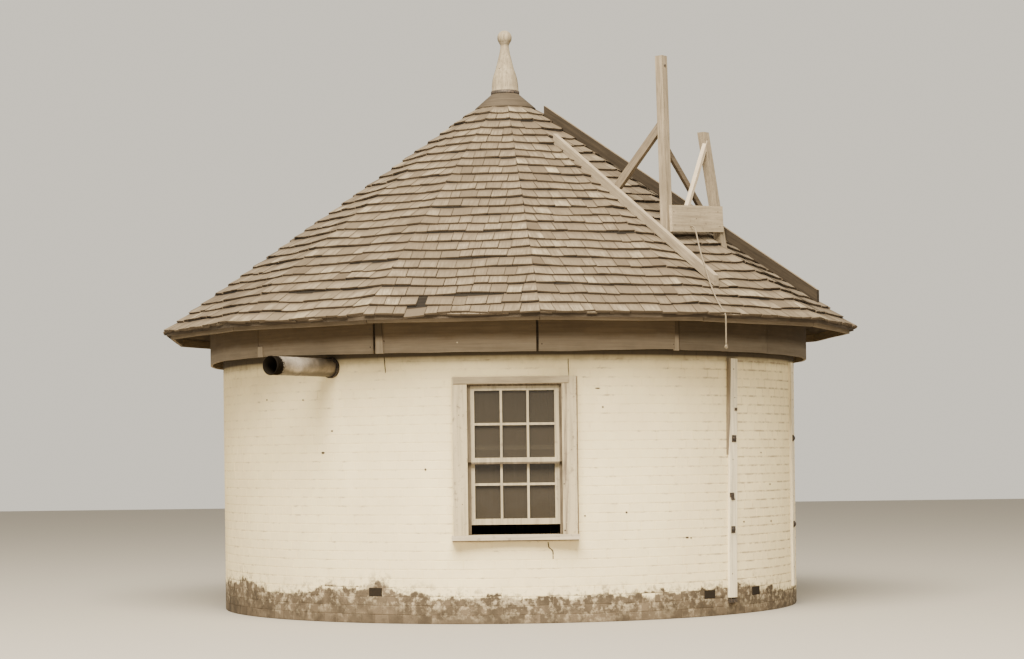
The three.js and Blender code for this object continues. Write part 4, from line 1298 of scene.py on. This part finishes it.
ironValues = {
    "ease": 0.0015,
    # the boards' plates are boxes and their domes places, all in x along the wall, y out from it and z
    "boards": {
        "left": {"azimuth": 44.76, "radius": 2.5218, "lean": 0.02,
                 "plates": [(-0.023, 0.031, 1.391, 1.447, -0.001, 0.005),
                            (-0.0315, 0.0195, 0.658, 0.714, -0.001, 0.005),
                            (-0.05, 0.0, 0.948, 0.984, -0.001, 0.009),
                            (-0.032, 0.004, 0.924, 0.9485, -0.001, 0.007),
                            (0.01, 0.042, 1.644, 1.669, -0.001, 0.006),
                            (-0.047, 0.047, 0.098, 0.126, -0.03, 0.002)],
                 "domes": [(0.004, 0.004, 1.419), (-0.006, 0.004, 0.686)]},
        "right": {"azimuth": 72.2, "radius": 2.524, "lean": 0.0,
                  "plates": [(-0.026, 0.026, 1.397, 1.451, -0.001, 0.005),
                             (-0.026, 0.026, 0.665, 0.719, -0.001, 0.005)],
                  "domes": [(0.0, 0.004, 1.424), (0.0, 0.004, 0.692)]},
    },
    "pivot": 1.1,
    "dome": [(0, 0), (0.021, 0), (0.0205, 0.004), (0.017, 0.01), (0.009, 0.0145), (0, 0.0155)],
    "bolt": [(0, -0.004), (0.011, -0.004), (0.011, 0.005), (0.008, 0.008), (0, 0.009)],
    "boardNails": [(-0.012, 0, 0.33), (0.016, 0, 0.93), (-0.008, 0, 1.25), (0.014, 0, 1.75), (0.0, 0, 1.98)],
    "frameCorners": [(1.3122, -1.6569, 3.3233), (1.7866, -1.1254, 3.3653), (1.3206, -1.6475, 3.1087)],
    "frameNormal": (0.746, -0.666, 0),
    "frameNails": [(0.04, 0.25), (0.05, 0.75), (0.9, 0.22), (0.93, 0.78), (0.47, 0.5)],
    "rimNails": (0.75, (2.16, 2.3)),  # degrees from a joint, and heights
    "bolts": [(1.2709, -1.6318, 4.46), (1.2709, -1.6318, 3.62), (1.6620, -1.0936, 3.92)],
    "planks": {"x": 0.366, "count": 5, "gap": 0.003, "box": (0.084, 1.994, 2.4302, 2.4385), "ease": 0.002},
    "stops": [(-0.3695, -0.345, 0.0815, 1.9995, 2.3895, 2.37), (0.345, 0.3695, 0.0815, 1.9995, 2.3895, 2.37),
              (-0.345, 0.345, 1.975, 1.9995, 2.3895, 2.37)],
    "straps": [(-0.12, 0.362, 0.43, 0.47, 2.438, 2.4425), (-0.12, 0.362, 1.63, 1.67, 2.438, 2.4425),
               (-0.335, -0.27, 0.97, 1.06, 2.438, 2.4415), (-0.36, -0.22, 1.11, 1.135, 2.438, 2.444)],
    "strapNails": [(x, 2.4425, z) for z in (0.45, 1.65) for x in (-0.09, 0.03, 0.17, 0.31)],
    "knob": (-0.303, 2.4415, 1.0),
}


def onWall(local, board, pivot):
    # local x runs along the wall, y out from the board's radius, z up; the board leans about the pivot height
    local = np.array(local, float)
    along = local[..., 0] + board["lean"] * (local[..., 2] - pivot)
    across = polar(1.0, board["azimuth"] + 90, 0.0) * along[..., None]
    return polar(board["radius"] + local[..., 1], board["azimuth"], local[..., 2]) + across


def makeIronwork(values, joints, radius):
    # plates are boxes with eased fronts, heads are turned studs; the skirt's nails stand beside its joints
    ease = values["ease"]
    for side, board in values["boards"].items():
        points, faces = easedBoxes(board["plates"], ease)
        shapes = [(onWall(points, board, values["pivot"]), faces)]
        for profile, steps, places in ((values["dome"], 20, board["domes"]),
                                       (nailProfile, 8, values["boardNails"])):
            shapes.append(manyStuds(profile, steps, onWall(places, board, values["pivot"]),
                                    polar(1.0, board["azimuth"], 0.0)))
        newPiece(f"board_irons_{side}", joined(shapes), "building", darkIron)
    start, along, down = np.array(values["frameCorners"])
    frameNails = [start + (along - start) * a + (down - start) * b for a, b in values["frameNails"]]
    apart, levels = values["rimNails"]
    rimNails = np.array([polar(radius, joint + side * apart, z) for joint in joints for side in (-1, 1)
                         for z in levels])
    for name, profile, steps, places, normals, material in (
            ("frame_board_nails", nailProfile, 8, frameNails, values["frameNormal"], nailIron),
            ("skirt_nails", nailProfile, 8, rimNails, rimNails * (1, 1, 0), nailIron),
            ("post_bolts", values["bolt"], 10, values["bolts"], values["frameNormal"], darkIron)):
        newPiece(name, manyStuds(profile, steps, places, normals), "roof", material)
    plank, out = values["planks"], (0, 1, 0)
    edges = np.linspace(-plank["x"], plank["x"], plank["count"] + 1)
    half = plank["gap"] / 2
    rows = [(low + half, high - half, *plank["box"]) for low, high in zip(edges, edges[1:])]
    newPiece("door_planks", easedBoxes(rows, plank["ease"]), "building", whitePaint)
    newPiece("door_stops", easedBoxes(values["stops"], plank["ease"]), "building", whitePaint)
    irons = [easedBoxes(values["straps"], ease), manyStuds(nailProfile, 8, values["strapNails"], out),
             manyStuds(values["dome"], 20, [values["knob"]], out)]
    newPiece("door_irons", joined(irons), "building", darkIron)


makeIronwork(ironValues, skirtValues["joints"], skirtValues["outer"])
print("iron fitted")

# Stage: pale floor and soft studio light

stageValues = {
    "floorSize": 80.0,
    "floorColor": (0.34, 0.31, 0.265),
    "lightColor": (1.0, 0.93, 0.79),
    "worldStrength": 0.95,
    "keyPower": 17500.0,
    "keyPlace": (-1.8, -13.5, 17.0),
    "keyAim": (0, 0, 2.2),
    "keySize": 13.0,
}


def makeStage(values):
    half = values["floorSize"] / 2
    mesh = bpy.data.meshes.new("floor_plane")
    corners = [(-half, -half, 0), (half, -half, 0), (half, half, 0), (-half, half, 0)]
    mesh.from_pydata(corners, [], [(0, 1, 2, 3)])
    mesh.materials.append(newMaterial("pale floor", 0.95))
    setSockets(inHand["shader"], {"Base Color": values["floorColor"]})
    addObject("floor_plane", mesh)
    # one even world light and one large soft lamp that looks at its aim
    world = bpy.data.worlds.new("studio")
    bpy.context.scene.world = world
    world.use_nodes = True
    setSockets(world.node_tree.nodes["Background"],
               {"Color": values["lightColor"], "Strength": values["worldStrength"]})
    light = bpy.data.lights.new("key light", "AREA")
    light.size = values["keySize"]
    light.energy = values["keyPower"]
    light.color = values["lightColor"]
    place = np.array(values["keyPlace"])
    x, y, z = values["keyAim"] - place
    addObject("key light", light).matrix_world = placed(place, (-math.atan2(x, y), "Z"),
                                                        (math.atan2(math.hypot(x, y), -z), "X"))


makeStage(stageValues)
print("stage lit")
